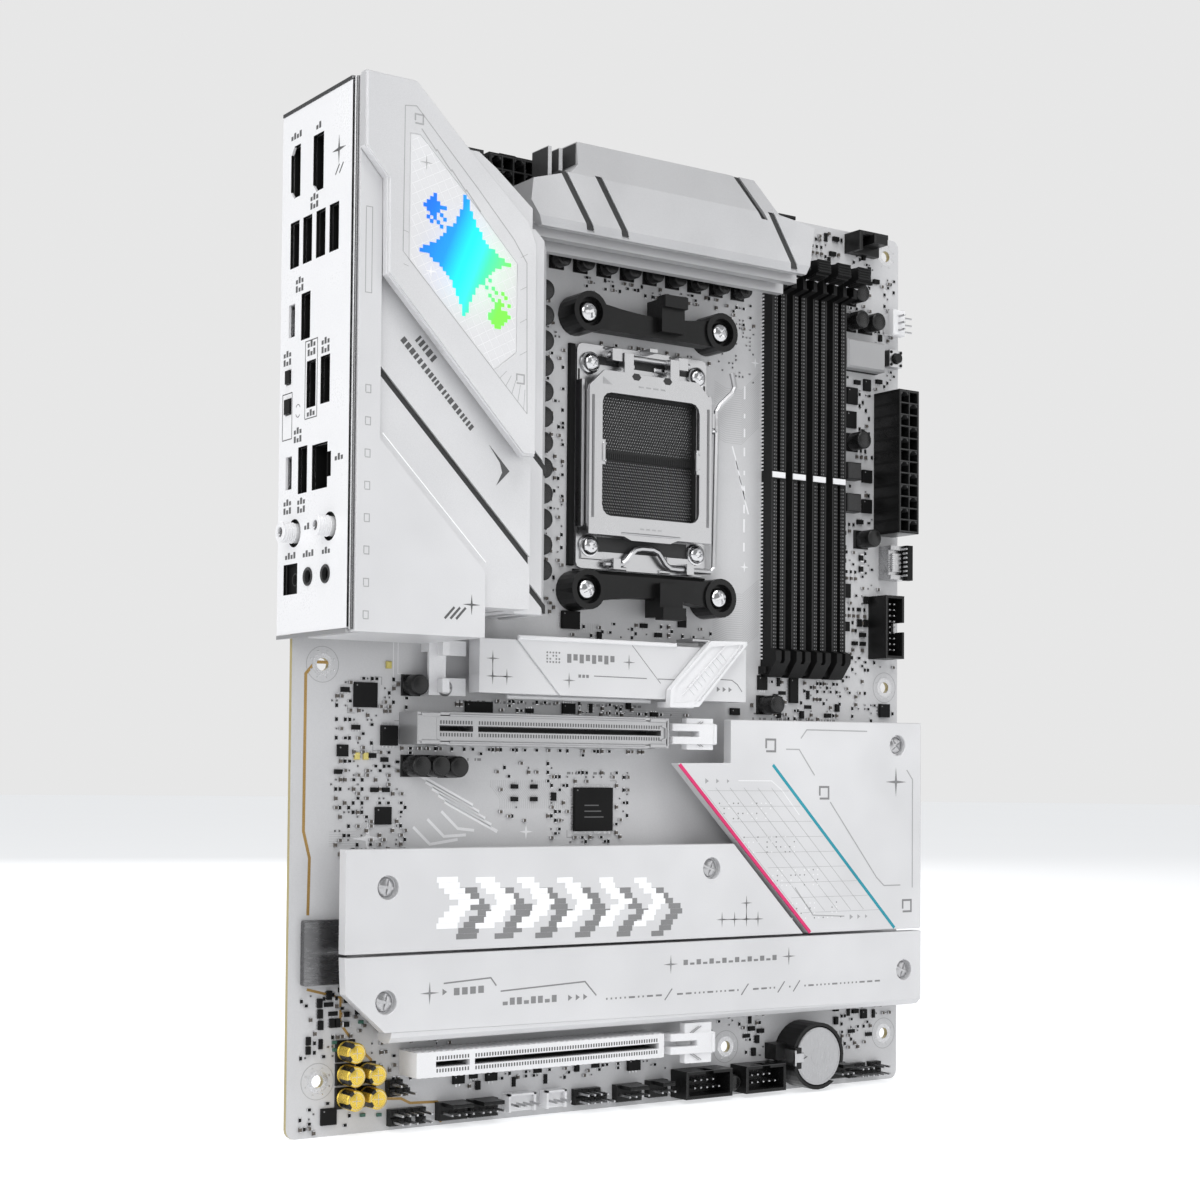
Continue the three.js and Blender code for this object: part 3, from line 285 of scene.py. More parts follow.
class Piece:
    """Closed solids collected in board millimetres, then made into one object."""

    def __init__(self, name, finish, slot=None, body="board"):
        self.name = name
        self.body = body
        self.slot = slot
        self.mesh = bmesh.new()
        self.finishes = [finish]
        self.index = 0
        self.place = at

    def use(self, finish):
        """What follows is made in this finish."""
        if finish not in self.finishes:
            self.finishes.append(finish)
        self.index = self.finishes.index(finish)

    def onto(self, place):
        """What follows is placed by this function of (u, height, v)."""
        self.place = place

    def face(self, verts):
        made = self.mesh.faces.new(verts)
        made.material_index = self.index

    def loft(self, rings, loop=False):
        rows = [[self.mesh.verts.new(self.place(*p)) for p in ring] for ring in rings]
        count = len(rows[0])
        pairs = list(zip(rows, rows[1:]))
        if loop:
            pairs.append((rows[-1], rows[0]))
        for low, high in pairs:
            for i in range(count):
                j = (i + 1) % count
                self.face((low[i], low[j], high[j], high[i]))
        if not loop:
            self.face(rows[0][::-1])
            self.face(rows[-1])

    def prism(self, outline, h0, h1):
        self.loft([[(u, h, v) for u, v in outline] for h in (h0, h1)])

    def box(self, x0, x1, h0, h1, z0, z1):
        self.prism(((x0, z0), (x1, z0), (x1, z1), (x0, z1)), h0, h1)

    def tapered(self, x0, x1, h0, h1, z0, z1, chamfer):
        """A box whose far face is drawn in by a chamfer."""
        rings = []
        for h, inset in ((h0, 0), (h1 - chamfer, 0), (h1, chamfer)):
            rings.append(((x0 + inset, h, z0 + inset), (x1 - inset, h, z0 + inset),
                          (x1 - inset, h, z1 - inset), (x0 + inset, h, z1 - inset)))
        self.loft(rings)

    def turned(self, x, z, profile, sides=20, loop=False):
        """A solid of revolution about the board's outward line; profile is a row of (radius, h)."""
        rings = []
        for radius, h in profile:
            rings.append([(x + radius * math.cos(2 * math.pi * i / sides), h,
                           z + radius * math.sin(2 * math.pi * i / sides)) for i in range(sides)])
        self.loft(rings, loop)

    def ring(self, x, z, inner, outer, h0, h1, sides=24):
        self.turned(x, z, ((inner, h0), (outer, h0), (outer, h1), (inner, h1)), sides, loop=True)

    def ribbon(self, points, width, h0, h1):
        """A flat strip along a row of points, with mitred corners."""
        rings = []
        for i, (x, z) in enumerate(points):
            before = Vector(points[max(i - 1, 0)])
            after = Vector(points[min(i + 1, len(points) - 1)])
            here = Vector((x, z))
            first = (here - before).normalized() if i else (after - here).normalized()
            last = (after - here).normalized() if i < len(points) - 1 else first
            middle = (first + last).normalized()
            side = Vector((-middle.y, middle.x)) * width / 2 / max(0.4, middle.dot(first))
            rings.append(((x + side.x, h0, z + side.y), (x + side.x, h1, z + side.y),
                          (x - side.x, h1, z - side.y), (x - side.x, h0, z - side.y)))
        self.loft(rings)

    def outline(self, x0, x1, z0, z1, width, h0, h1, gap=0.2):
        """A thin printed frame round a rectangle, closed but for a hair's gap."""
        self.ribbon(((x0, z0), (x1, z0), (x1, z1), (x0, z1), (x0, z0 + gap)), width, h0, h1)

    def pin(self, x, z, half, h0, h1, chamfer=0.2):
        """A square pin with a pointed end."""
        self.tapered(x - half, x + half, h0, h1, z - half, z + half, chamfer)

    def rod(self, points, radius, sides=8):
        """A round bar along a row of (x, h, z) points."""
        spots = [Vector(p) for p in points]
        rings = []
        for i, spot in enumerate(spots):
            along = (spots[min(i + 1, len(spots) - 1)] - spots[max(i - 1, 0)]).normalized()
            guide = Vector((0, 0, 1)) if abs(along.z) < 0.9 else Vector((1, 0, 0))
            right = along.cross(guide).normalized()
            up = right.cross(along)
            rings.append([spot + (right * math.cos(a) + up * math.sin(a)) * radius
                          for a in (2 * math.pi * k / sides for k in range(sides))])
        self.loft(rings)

    def star(self, x, z, reach, h0, h1, waist=0.14):
        """A four-pointed sparkle."""
        outline = []
        for i in range(8):
            radius = reach if i % 2 == 0 else reach * waist
            angle = math.pi * i / 4
            outline.append((x + radius * math.cos(angle), z + radius * math.sin(angle)))
        self.prism(outline, h0, h1)

    def arrow(self, x, z, size, h0, h1):
        self.prism(((x, z - size / 2), (x + size * 0.8, z), (x, z + size / 2)), h0, h1)

    def stamp(self, template, x, h, z, turn=0.0):
        """Adds a copy of a template's faces, standing on the board at a place."""
        spin = Matrix.Rotation(turn, 3, "Z")
        verts = []
        for point in template["points"]:
            u, v, w = spin @ Vector(point)
            verts.append(self.mesh.verts.new(self.place(x + u, h + w, z + v)))
        for corners in template["faces"]:
            self.face([verts[i] for i in corners])

    def done(self):
        """Makes the object, with edges sharper than SMOOTH_ANGLE kept sharp."""
        bmesh.ops.recalc_face_normals(self.mesh, faces=self.mesh.faces)
        data = bpy.data.meshes.new(self.name)
        self.mesh.to_mesh(data)
        self.mesh.free()
        for finish in self.finishes:
            data.materials.append(finish)
        data.shade_smooth()
        data.set_sharp_from_angle(angle=math.radians(SMOOTH_ANGLE))
        made = bpy.data.objects.new(self.name, data)
        bpy.context.scene.collection.objects.link(made)
        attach(made, self.body)


def soften(thing, width):
    rounded = thing.modifiers.new("soft_edges", "BEVEL")
    rounded.width = width * MM
    rounded.segments = 2
    rounded.limit_method = "ANGLE"
    rounded.angle_limit = math.radians(40)


def on_shield(u, lift, v):
    """On the rear panel: u is the height over the board, v runs up it, and lift stands out from its face."""
    return at(-3.7 - lift, u, v)


def behind(u, lift, v):
    """On the solder side, where lift stands out from the back face."""
    return at(u, BACK - lift, v)


# ---- room already taken on the board
taken = []


def claim(x0, x1, z0, z1):
    taken.append((x0, x1, z0, z1))


def is_free(x0, x1, z0, z1, gap=0.25):
    return all(x1 + gap < a or x0 - gap > b or z1 + gap < c or z0 - gap > d for a, b, c, d in taken)


LOW_NODES = [n for n in frame["nodes"] if n not in ("pcb", "socket_backplate", "io_cover", "io_cover_panel",
                                                    "light_window", "io_shield", "m2_plate_middle",
                                                    "m2_plate_lower", "chipset_heatsink", "vrm_heatsink_top",
                                                    "vrm_heatsink_left")]
for node_name in LOW_NODES:
    low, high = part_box(node_name)
    claim((low.x - board_low.x) / MM, (high.x - board_low.x) / MM,
          (low.z - board_low.z) / MM, (high.z - board_low.z) / MM)
mounting_holes = [(UPPER_REAR_HOLE_X if (x, z) == (HOLE_X[0], HOLE_Z[2]) else x,
                   z) for z in HOLE_Z for x in HOLE_X]
for x, z in mounting_holes:
    claim(x - 5.5, x + 5.5, z - 5.5, z + 5.5)


# ---- finishes of the frame's own nodes
NODE_LOOKS = {
    "pcb": laminate_look(), "socket_base": RESIN, "chipset_chip": CHIP, "io_shield": SHIELD_PAINT,
    "io_cover_panel": SILVER_METAL, "coin_cell": CELL_STEEL, "audio_shield": DARK_STEEL,
    "pcie_slot_1_armour": PALE_STEEL, "pcie_slot_1": PALE_STEEL, "m2_bracket": WHITE_PLASTIC,
    "start_button_base": STEEL, "socket_backplate": STEEL, "socket_frame": STEEL, "load_plate": STEEL,
    "socket_lever": STEEL, "vrm_heatsink_top": FIN_METAL, "usb_c_header": PORT_STEEL,
    "light_window": LENS_FILM,
    "antenna_post_1": WHITE_PLASTIC, "antenna_post_2": WHITE_PLASTIC,
}
SLOT_LOOKS = {
    "white_metal": WHITE_METAL, "port_steel": PORT_STEEL, "black_plastic": BLACK_PLASTIC,
    "white_plastic": WHITE_PLASTIC,
}
slot_of = {row["node"]: row["material_slot"] for row in frame["record"]["subparts"]}
ROUND_EDGES = {
    "io_cover": 0.5, "io_cover_panel": 0.35, "vrm_heatsink_left": 0.35, "vrm_heatsink_top": 0.3,
    "m2_heatsink_upper": 0.3, "m2_plate_middle": 0.35, "m2_plate_lower": 0.35, "chipset_heatsink": 0.35,
    "m2_latch": 0.3, "load_plate": 0.3, "socket_frame": 0.2, "cooler_bracket_top": 0.6,
    "cooler_bracket_bottom": 0.6, "atx_power_connector": 0.15, "pcie_latch_1": 0.3, "pcie_latch_2": 0.3,
    "battery_holder": 0.25, "coin_cell": 0.4, "audio_shield": 0.5,
}
for name, thing in frame["nodes"].items():
    finish = NODE_LOOKS.get(name) or SLOT_LOOKS[slot_of[name]]
    if name.startswith("dimm_slot"):
        finish = SLOT_BLACK
    thing.data.materials.clear()
    thing.data.materials.append(finish)
    if name in ROUND_EDGES:
        merged = thing.modifiers.new("joined_corners", "WELD")
        merged.merge_threshold = 0.002 * MM
        soften(thing, ROUND_EDGES[name])


# ---- fasteners


def screw_template(radius, height, drive, sides=24):
    """A domed head with a real recess: a cross, a slot or a six-lobed hole. Points are (x, z, h)."""
    head = bmesh.new()

    def revolve(mesh, profile, count):
        rows = []
        for r, h in profile:
            rows.append([mesh.verts.new((r * math.cos(2 * math.pi * i / count),
                                         r * math.sin(2 * math.pi * i / count), h)) for i in range(count)])
        for low_row, high_row in zip(rows, rows[1:]):
            for i in range(count):
                j = (i + 1) % count
                mesh.faces.new((low_row[i], low_row[j], high_row[j], high_row[i]))
        mesh.faces.new(rows[0][::-1])
        mesh.faces.new(rows[-1])

    dome = [(radius * 0.94, 0), (radius, 0.15 * height)]
    for k in range(1, 6):
        a = math.radians(16 * k)
        dome.append((radius * math.cos(a), height * (0.15 + 0.85 * math.sin(a))))
    revolve(head, dome, sides)
    tool = bmesh.new()
    depth = height * 0.45
    if drive == "lobes":
        outline = []
        for i in range(24):
            r = radius * (0.4 + 0.09 * math.cos(6 * 2 * math.pi * i / 24))
            a = 2 * math.pi * i / 24
            outline.append((r * math.cos(a), r * math.sin(a)))
    else:
        long, thin = radius * 0.62, radius * 0.13
        if drive == "slot":
            long = radius * 0.92
        outline = [(thin, -long), (thin, -thin), (long, -thin), (long, thin), (thin, thin), (thin, long),
                   (-thin, long), (-thin, thin), (-long, thin), (-long, -thin), (-thin, -thin), (-thin,
                                                                                                 -long)]
    rows = [[tool.verts.new((x, z, h)) for x, z in outline] for h in (height - depth, height + 1)]
    count = len(outline)
    for i in range(count):
        j = (i + 1) % count
        tool.faces.new((rows[0][i], rows[0][j], rows[1][j], rows[1][i]))
    tool.faces.new(rows[0][::-1])
    tool.faces.new(rows[1])
    parts = []
    for mesh in (head, tool):
        bmesh.ops.recalc_face_normals(mesh, faces=mesh.faces)
        data = bpy.data.meshes.new("screw_part")
        mesh.to_mesh(data)
        mesh.free()
        part = bpy.data.objects.new("screw_part", data)
        bpy.context.scene.collection.objects.link(part)
        parts.append(part)
    recess = parts[0].modifiers.new("recess", "BOOLEAN")
    recess.object = parts[1]
    recess.solver = "EXACT"
    shaped = parts[0].evaluated_get(bpy.context.evaluated_depsgraph_get()).to_mesh()
    template = {"points": [tuple(v.co) for v in shaped.vertices],
                "faces": [tuple(p.vertices) for p in shaped.polygons]}
    for part in parts:
        data = part.data
        bpy.data.objects.remove(part)
        bpy.data.meshes.remove(data)
    return template


CROSS = screw_template(3.5, 2.3, "cross")
LOBES = screw_template(3.1, 1.9, "lobes")
SLOTTED = screw_template(3.0, 1.3, "slot")
SMALL_CROSS = screw_template(2.6, 1.4, "cross")

bracket_screws = Piece("cooler_bracket_screws", CHROME, "bright_steel")
for dx, dz, turn in ((-27, 45, 0.2), (27, 45, 0.9), (-27, -45, 0.5), (27, -45, 0.35)):
    bracket_screws.stamp(CROSS, SOCKET[0] + dx, 7.5, SOCKET[1] + dz, turn)
bracket_screws.done()
frame_screws = Piece("socket_frame_screws", CHROME, "bright_steel")
for dx, dz in SOCKET_SCREWS:
    frame_screws.turned(SOCKET[0] + dx, SOCKET[1] + dz, ((3.5, 1.35), (3.7, 1.5), (3.6, 2.3), (3.1, 2.5)))
    frame_screws.stamp(LOBES, SOCKET[0] + dx, 2.4, SOCKET[1] + dz, chance.uniform(0, 1))
frame_screws.done()
plate_screws = Piece("plate_screws", STEEL, "bright_steel")
for x, z, turn in ((26.3, 74.4, 1.4), (148.6, 77.9, 1.2), (26, 40.3, 1.3), (235.3, 40.4, 1.2),
                   (232.1, 119.9, 0.7)):
    plate_screws.stamp(SLOTTED, x, 10.9, z, turn)
plate_screws.ring(232.1, 119.9, 2.95, 3.5, 10.85, 11.5)
plate_screws.done()

# ---- mounting holes and the board's printed lines
pads = Piece("mounting_pads", SOLDER, "laminate")
hole_ticks = Piece("mounting_print", SILK_SOFT, "laminate")
for x, z in mounting_holes:
    pads.ring(x, z, 2.0, 3.5, 0.0, 0.05)
    for i in range(8):
        a = math.pi * (i + 0.5) / 4
        pads.turned(x + 4.2 * math.cos(a), z + 4.2 * math.sin(a), ((0.32, 0), (0.3, 0.06), (0.12, 0.1)), 8)
    if z < 290:
        hole_ticks.ring(x, z, 5.3, 5.5, 0, 0.03, 36)
pads.done()
hole_ticks.done()

guard = Piece("guard_trace", COPPER_TRACE, "laminate")
GUARD_LINE = ((12.2, 141.6), (7.8, 141.6), (4.6, 138), (4.5, 91), (6.6, 83), (6.3, 66))
guard.ribbon(GUARD_LINE, 0.95, 0, 0.04)
guard.ribbon(((6.3, 44), (17.6, 41), (17.6, 33.4), (20.6, 29.4), (24.2, 25.4), (28.2, 21.8), (29.4, 9.9),
              (38.8, 9.2), (42, 7.6), (51.6, 7.2), (52.6, 6.2), (52.9, 0.8)), 0.8, 0, 0.04)
guard.done()


def bus(piece, start, step, count, path, width=0.22):
    """Parallel traces: each one is the path, moved over by one step."""
    for i in range(count):
        piece.ribbon([(start[0] + step[0] * i + dx, start[1] + step[1] * i + dz) for dx, dz in path], width,
                     0, 0.02)


routes = Piece("covered_traces", ROUTE, "laminate")
bus(routes, (158.4, 150), (0, 0.75), 26, ((0, 0), (6, 2.4), (13, 2.4), (20.5, 8)))
bus(routes, (158.6, 225), (0, 0.75), 26, ((0, 0), (5, -2), (12, -2), (20, 5)))
bus(routes, (70, 106.6), (0.8, 0), 34, ((0, 0), (0, -2), (3.5, -6), (3.5, -9)), 0.2)
bus(routes, (120, 130), (0, -0.7), 6, ((0, 0), (28, 0), (34, -6)))
for row in (((100.2, 158), (0.7, 0), 16, ((0, 0), (0, -3), (4, -7), (4, -14)), 0.2),
            ((214, 292.5), (0.7, 0), 10, ((0, 0), (0, -4), (-2, -8)), 0.2),
            ((13, 86.5), (0, 0.7), 7, ((0, 0), (9, 0), (13, 4)), 0.2)):
    bus(routes, *row)
routes.done()

# ---- capacitors and chokes


def can(piece, x, z, radius, height, side, top, base=BLACK_PLASTIC, vent=False):
    piece.use(base)
    piece.tapered(x - radius - 0.1, x + radius + 0.1, 0, 0.9, z - radius - 0.1, z + radius + 0.1, 0.3)
    piece.use(side)
    piece.turned(x, z, ((radius - 0.25, 0.7), (radius - 0.1, 1.2), (radius - 0.35, 1.6), (radius, 2.0),
                        (radius, height - 0.55), (radius - 0.15, height - 0.2), (radius - 0.5, height)), 28)
    piece.use(top)
    piece.turned(x, z, ((radius - 0.55, height - 0.3), (radius - 0.55, height + 0.03),
                        (radius - 0.9, height - 0.06)), 28)
    if vent:
        for turn in (0, math.pi / 2):
            dx, dz = math.cos(turn) * radius * 0.5, math.sin(turn) * radius * 0.5
            piece.ribbon(((x - dx, z - dz), (x + dx, z + dz)), 0.16, height - 0.1, height + 0.02)
    claim(x - radius, x + radius, z - radius, z + radius)


VRM_COLUMN = [(84.2, 263.3 - 8.17 * i) for i in range(12)]
solid_cans = Piece("solid_capacitors", CAN_SIDE, "black_plastic")
for x, z in VRM_COLUMN:
    can(solid_cans, x, z, 3.35, 8, CAN_SIDE, CAN_TOP)
    solid_cans.use(SILK_GREY)
    solid_cans.prism([(x - 2.6 * math.cos(a), z + 2.6 * math.sin(a)) for a in
                      (math.radians(d) for d in range(-38, 39, 19))], 8, 8.05)
TALL_CANS = ((219.6, 281.2), (219.6, 271.8), (227.4, 271.9), (220.6, 228.6), (225.6, 193.8), (181, 133.2))
for x, z in TALL_CANS:
    can(solid_cans, x, z, 3.2, 8, CAN_SIDE, CAN_TOP)
for x, z in ((40.6, 110.8), (47.4, 110.8), (53.9, 110.6)):
    can(solid_cans, x, z, 3.3, 8, CAN_SIDE, CAN_TOP)
for x, z, radius in ((40.4, 135.6, 3.2), (164.2, 5.2, 2.7)):
    can(solid_cans, x, z, radius, 6.5, CAN_SIDE, CAN_TOP)
for i in range(9):
    can(solid_cans, 93 + 9.4 * i, 275.4, 2.7, 5.6, CAN_SIDE, CAN_TOP)
solid_cans.done()

AUDIO_CANS = ((19.2, 25.1), (19.2, 18.1), (26.4, 18.1), (19.2, 11), (26.6, 11))
gold_cans = Piece("audio_capacitors", GOLD_SLEEVE, "antenna_metal")
for x, z in AUDIO_CANS:
    can(gold_cans, x, z, 3.15, 8, GOLD_SLEEVE, CAN_GREY, vent=True)
    gold_cans.use(CAN_SIDE)
    for k in (0, 1):
        gold_cans.prism([(x + (3.19 if r else 2.3) * math.cos(a), z + (3.19 if r else 2.3) * math.sin(a))
                         for a, r in ((1.9 + 1.5 * k, 0), (2.5 + 1.5 * k, 0), (2.5 + 1.5 * k, 1),
                                      (2.2 + 1.5 * k, 1),
                                      (1.9 + 1.5 * k, 1))], 2.6, 8.04)
gold_cans.done()

chokes = Piece("power_chokes", INDUCTOR, "socket_resin")
chokes.use(CHIP)
chokes.tapered(213.9, 222.6 + 9.6, 0.1, 2.2, 254.2, 264.8, 0.3)
chokes.use(INDUCTOR)
chokes.tapered(213.9 + 0.1, 222.6 + 9.4, 1.8, 6.4, 254.2 + 0.1, 264.8 - 0.1, 0.7)
claim(213.9, 222.6 + 9.6, 254.2, 264.8)
chokes.use(CAN_TOP)
for x, z, size in ((219.6, 217.8, 6.2), (219.4, 206.4, 6.6)):
    chokes.tapered(x - size / 2, x + size / 2, 0, 4.2, z - size / 2, z + size / 2, 0.5)
    claim(x - size / 2, x + size / 2, z - size / 2, z + size / 2)
for i in range(9):
    chokes.tapered(87.6 + 9.4 * i, 95.8 + 9.4 * i, 0, 7.4, 278.8, 282.6, 0.4)
for i in range(6):
    z = 171 + 16.4 * i
    chokes.tapered(74.2, 80.2, 0, 4.4, z, z + 9, 0.5)
    claim(74.2, 80.2, z, z + 9)
chokes.done()

# ---- chips
legs_all = Piece("chip_legs", SOLDER, "port_steel")
chips = Piece("chip_bodies", CHIP, "socket_resin")


def chip(x0, x1, z0, z1, height=1.0, sides="", pitch=0.8):
    """A moulded package with gull-wing legs on the named sides: n, s, e or w."""
    chips.use(CHIP)
    chips.tapered(x0, x1, 0.08, height, z0, z1, 0.12)
    chips.use(SILK_GREY)
    chips.turned(x0 + 0.9, z1 - 0.9, ((0.24, height - 0.02), (0.24, height + 0.015)), 10)
    reach = 0.9 if sides else 0.0
    for side in sides:
        along = (x0, x1) if side in "ns" else (z0, z1)
        count = max(2, int((along[1] - along[0] - 0.5) / pitch))
        start = (along[0] + along[1] - (count - 1) * pitch) / 2
        for i in range(count):
            c = start + i * pitch
            w = pitch * 0.24
            if side in "ns":
                inner = z1 if side == "n" else z0
                sign = 1 if side == "n" else -1
                za, zb = sorted((inner - 0.1 * sign, inner + reach * sign))
                legs_all.box(c - w, c + w, 0.02, 0.16, za, zb)
            else:
                inner = x1 if side == "e" else x0
                sign = 1 if side == "e" else -1
                xa, xb = sorted((inner - 0.1 * sign, inner + reach * sign))
                legs_all.box(xa, xb, 0.02, 0.16, c - w, c + w)
    claim(x0 - reach, x1 + reach, z0 - reach, z1 + reach)


CHIPS = (
    (101.4, 116.4, 90.2, 104.4, 1.5, "nsew", 0.5), (20.6, 28.6, 128.4, 136, 1.0),
    (30, 35.6, 116.9, 123.1, 1.6, "ns", 1.27), (15.2, 18.9, 113.4, 117, 0.9), (28.4, 34, 92.8, 98.2, 0.9),
    (96, 103, 155.8, 161.6, 1.2, "ew", 0.8), (143.4, 146.8, 158.4, 162.2, 0.8),
    (213.6, 217.6, 242.6, 248.4, 1.0, "w", 0.8), (218.6, 223.6, 242.4, 248.4, 1.0),
    (226.6, 230, 248, 252.2, 0.9), (218.2, 223, 233.8, 239.8, 1.0), (226, 230.4, 214.6, 219.2, 1.3),
    (226, 230.6, 203.6, 208.6, 1.0), (216.2, 220.6, 172.6, 177.6, 0.9), (216.8, 220.2, 160.6, 164, 0.9),
    (178, 182.2, 138.4, 143.4, 0.9, "s", 0.8), (192.2, 196, 134.2, 143, 1.2, "ew", 1.1),
    (234.6, 239.4, 130.2, 135, 1.2, "w", 1.2), (11.2, 16.4, 3.4, 8.4, 1.0),
    (56.8, 61, 12.2, 15.2, 1.1, "ns", 1.27), (68.8, 73, 12.2, 15.2, 1.1, "ns", 1.27),
    (123.6, 128.6, 11.4, 15.4, 1.3, "ns", 1.27), (60, 70, 126.9, 131.2, 1.0),
    (96.6, 101.6, 128.2, 131.6, 1.0, "ns", 0.9), (226.2, 229, 22.4, 25.6, 1.0),
    (166, 170, 129.4, 131.8, 1.0),
)
for package in CHIPS:
    chip(*package)
chips.use(SILK_DARK)
for line in range(3):
    chips.box(105, 112.6 - line, 1.49, 1.52, 94.6 + 1.9 * line, 95 + 1.9 * line)
chips.done()

# ---- tiny surface-mounted parts
tiny = Piece("surface_parts", CHIP, "socket_resin")


def part(x, z, kind, upright):
    """One tiny part: a resistor, a ceramic capacitor, a diode or a three-legged transistor."""
    sizes = {"resistor": (1.6, 0.8, 0.4), "ceramic": (1.5, 0.9, 0.8), "big": (2.8, 1.5, 1.1),
             "diode": (2.4, 1.4, 1.0),
             "legged": (2.7, 1.5, 1.1), "array": (3.0, 1.3, 0.6), "dot": (0.8, 0.5, 0.3)}
    length, width, tall = sizes[kind]
    dx, dz = (width / 2, length / 2) if upright else (length / 2, width / 2)
    if not is_free(x - dx, x + dx, z - dz, z + dz):
        return
    claim(x - dx, x + dx, z - dz, z + dz)
    ends = kind in ("resistor", "ceramic", "big", "dot")
    body = {"ceramic": CERAMIC, "dot": SILK_DARK}.get(kind, CHIP)
    tiny.use(body)
    trim = 0.76 if ends else 1.0
    if upright:
        tiny.tapered(x - dx, x + dx, 0.02, tall, z - dz * trim, z + dz * trim, 0.08)
    else:
        tiny.tapered(x - dx * trim, x + dx * trim, 0.02, tall, z - dz, z + dz, 0.08)
    tiny.use(SOLDER)
    for sign in (-1, 1):
        if ends and upright:
            za, zb = sorted((z + sign * dz * 0.7, z + sign * dz))
            tiny.box(x - dx, x + dx, 0.01, tall * 1.02, za, zb)
        elif ends:
            xa, xb = sorted((x + sign * dx * 0.7, x + sign * dx))
            tiny.box(xa, xb, 0.01, tall * 1.02, z - dz, z + dz)
        elif kind in ("legged", "array"):
            for k in (-1, 0, 1):
                if upright:
                    xa, xb = sorted((x + sign * dx, x + sign * (dx + 0.5)))
                    tiny.box(xa, xb, 0.01, 0.2, z + k * 0.95 - 0.17, z + k * 0.95 + 0.17)
                else:
                    za, zb = sorted((z + sign * dz, z + sign * (dz + 0.5)))
                    tiny.box(x + k * 0.95 - 0.17, x + k * 0.95 + 0.17, 0.01, 0.2, za, zb)


def scatter(x0, x1, z0, z1, count, kinds):
    """Tiny parts in rows: each stands in line on a fine grid."""
    for _ in range(count):
        x = round(chance.uniform(x0, x1) / 1.5) * 1.5
        z = round(chance.uniform(z0, z1) / 1.4) * 1.4
        part(x, z, chance.choice(kinds), chance.random() < 0.5)


SMALL = ("resistor", "ceramic", "resistor", "dot", "ceramic")
MIXED = ("resistor", "ceramic", "resistor", "legged", "ceramic", "dot", "array", "resistor")
for x, z, kind, upright in ((17.6, 133.6, "legged", False), (21.4, 122.3, "legged", False),
                            (27, 113.8, "legged", False),
                            (31.4, 112.6, "diode", False), (15.6, 108.8, "diode", False), (28, 103.4,
                                                                                           "diode", False),
                            (32, 103.4, "diode", False), (32, 98.9, "diode", False), (78.6, 104.6, "diode",
                                                                                      False),
                            (78.6, 100.6, "diode", False), (86, 104.6, "diode", False), (86, 100.6, "diode",
                                                                                         False),
                            (93.6, 101.4, "legged", True), (10.8, 33.2, "legged", True), (10.6, 36.6,
                                                                                          "legged", True),
                            (10.4, 39.8, "legged", True), (14.6, 33.6, "legged", True), (6.8, 28.8, "diode",
                                                                                         True),
                            (6.8, 26, "diode", True), (11, 27.6, "array", True), (6.6, 20.4, "diode", True),
                            (19.2, 36, "big", False), (19.2, 33, "big", False), (19.2, 40.2, "big", False),
                            (171.8, 10.6, "legged", False), (176, 22, "legged", False), (230.2, 16.6,
                                                                                         "array", False),
                            (214.4, 26.4, "diode", False), (226.4, 296.6, "diode", True), (229.4, 291.8,
                                                                                           "array", True),
                            (229.2, 287.4, "diode", False), (231.6, 268.6, "diode", False), (234.6, 268,
                                                                                             "diode", True),
                            (216.8, 195.8, "legged", False), (216.8, 190.6, "legged", False),
                            (216.8, 185.8, "legged", False), (225.6, 187.2, "big", True), (225.6, 183.2,
                                                                                           "big", True),
                            (222.8, 156.4, "diode", False), (226.6, 156.4, "diode", False),
                            (186.4, 143.4, "array", False), (189.2, 137.6, "array", False)):
    part(x, z, kind, upright)
FIRST_FIELDS = (
    (14, 40, 84, 138, 420, SMALL), (4, 22, 2, 30, 110, MIXED), (5, 30, 28, 44, 60, MIXED),
    (28, 60, 14.6, 27, 60, SMALL), (62, 140, 11.4, 15, 90, MIXED),
    (36, 130, 115.4, 116.8, 60, ("ceramic", "resistor")), (92, 124, 86.5, 110, 190, SMALL),
    (72, 96, 92, 112, 36, SMALL), (56, 150, 127.5, 132.2, 120, MIXED), (88, 97, 160, 262, 120, SMALL),
    (99, 158, 152.6, 161, 90, MIXED), (100, 156, 248.6, 251.6, 40, SMALL),
    (99, 175, 263, 272.4, 150, SMALL), (160, 176, 244, 266, 50, ("dot",)),
)
for field in FIRST_FIELDS:
    scatter(*field)
for x, z, count in ((216, 199, 4), (216, 168.6, 5), (223.4, 168.6, 4), (219, 182, 3), (223.6, 226, 3),
                    (217, 261, 2),
                    (12, 41, 4), (150, 22, 4), (222, 287, 4), (196, 297, 6), (112, 130.6, 5), (44, 20, 6)):
    for k in range(count):
        part(x + 2.1 * k, z, "resistor", True)
        part(x + 2.1 * k, z - 2.4, "ceramic", True)
SECOND_FIELDS = (
    (213, 235, 150, 302, 430, MIXED), (176, 216, 129, 143, 190, MIXED), (217, 243, 128.8, 150, 60, SMALL),
    (146, 160, 5, 27, 30, SMALL), (160, 182, 12, 28, 80, MIXED), (212, 240, 12, 28, 120, MIXED),
    (236, 242, 246, 304, 60, SMALL), (178, 212, 290.4, 303, 150, MIXED), (62, 76, 262, 276, 40, SMALL),
    (84, 100, 284, 303, 40, SMALL),
)
for field in SECOND_FIELDS:
    scatter(*field)
tiny.use(YELLOW)
for x, z in ((32.6, 141.6), (22, 113.6), (25, 113.6)):
    tiny.tapered(x - 0.9, x + 0.9, 0.02, 0.9, z - 1.1, z + 1.1, 0.2)
tiny.use(JADE)
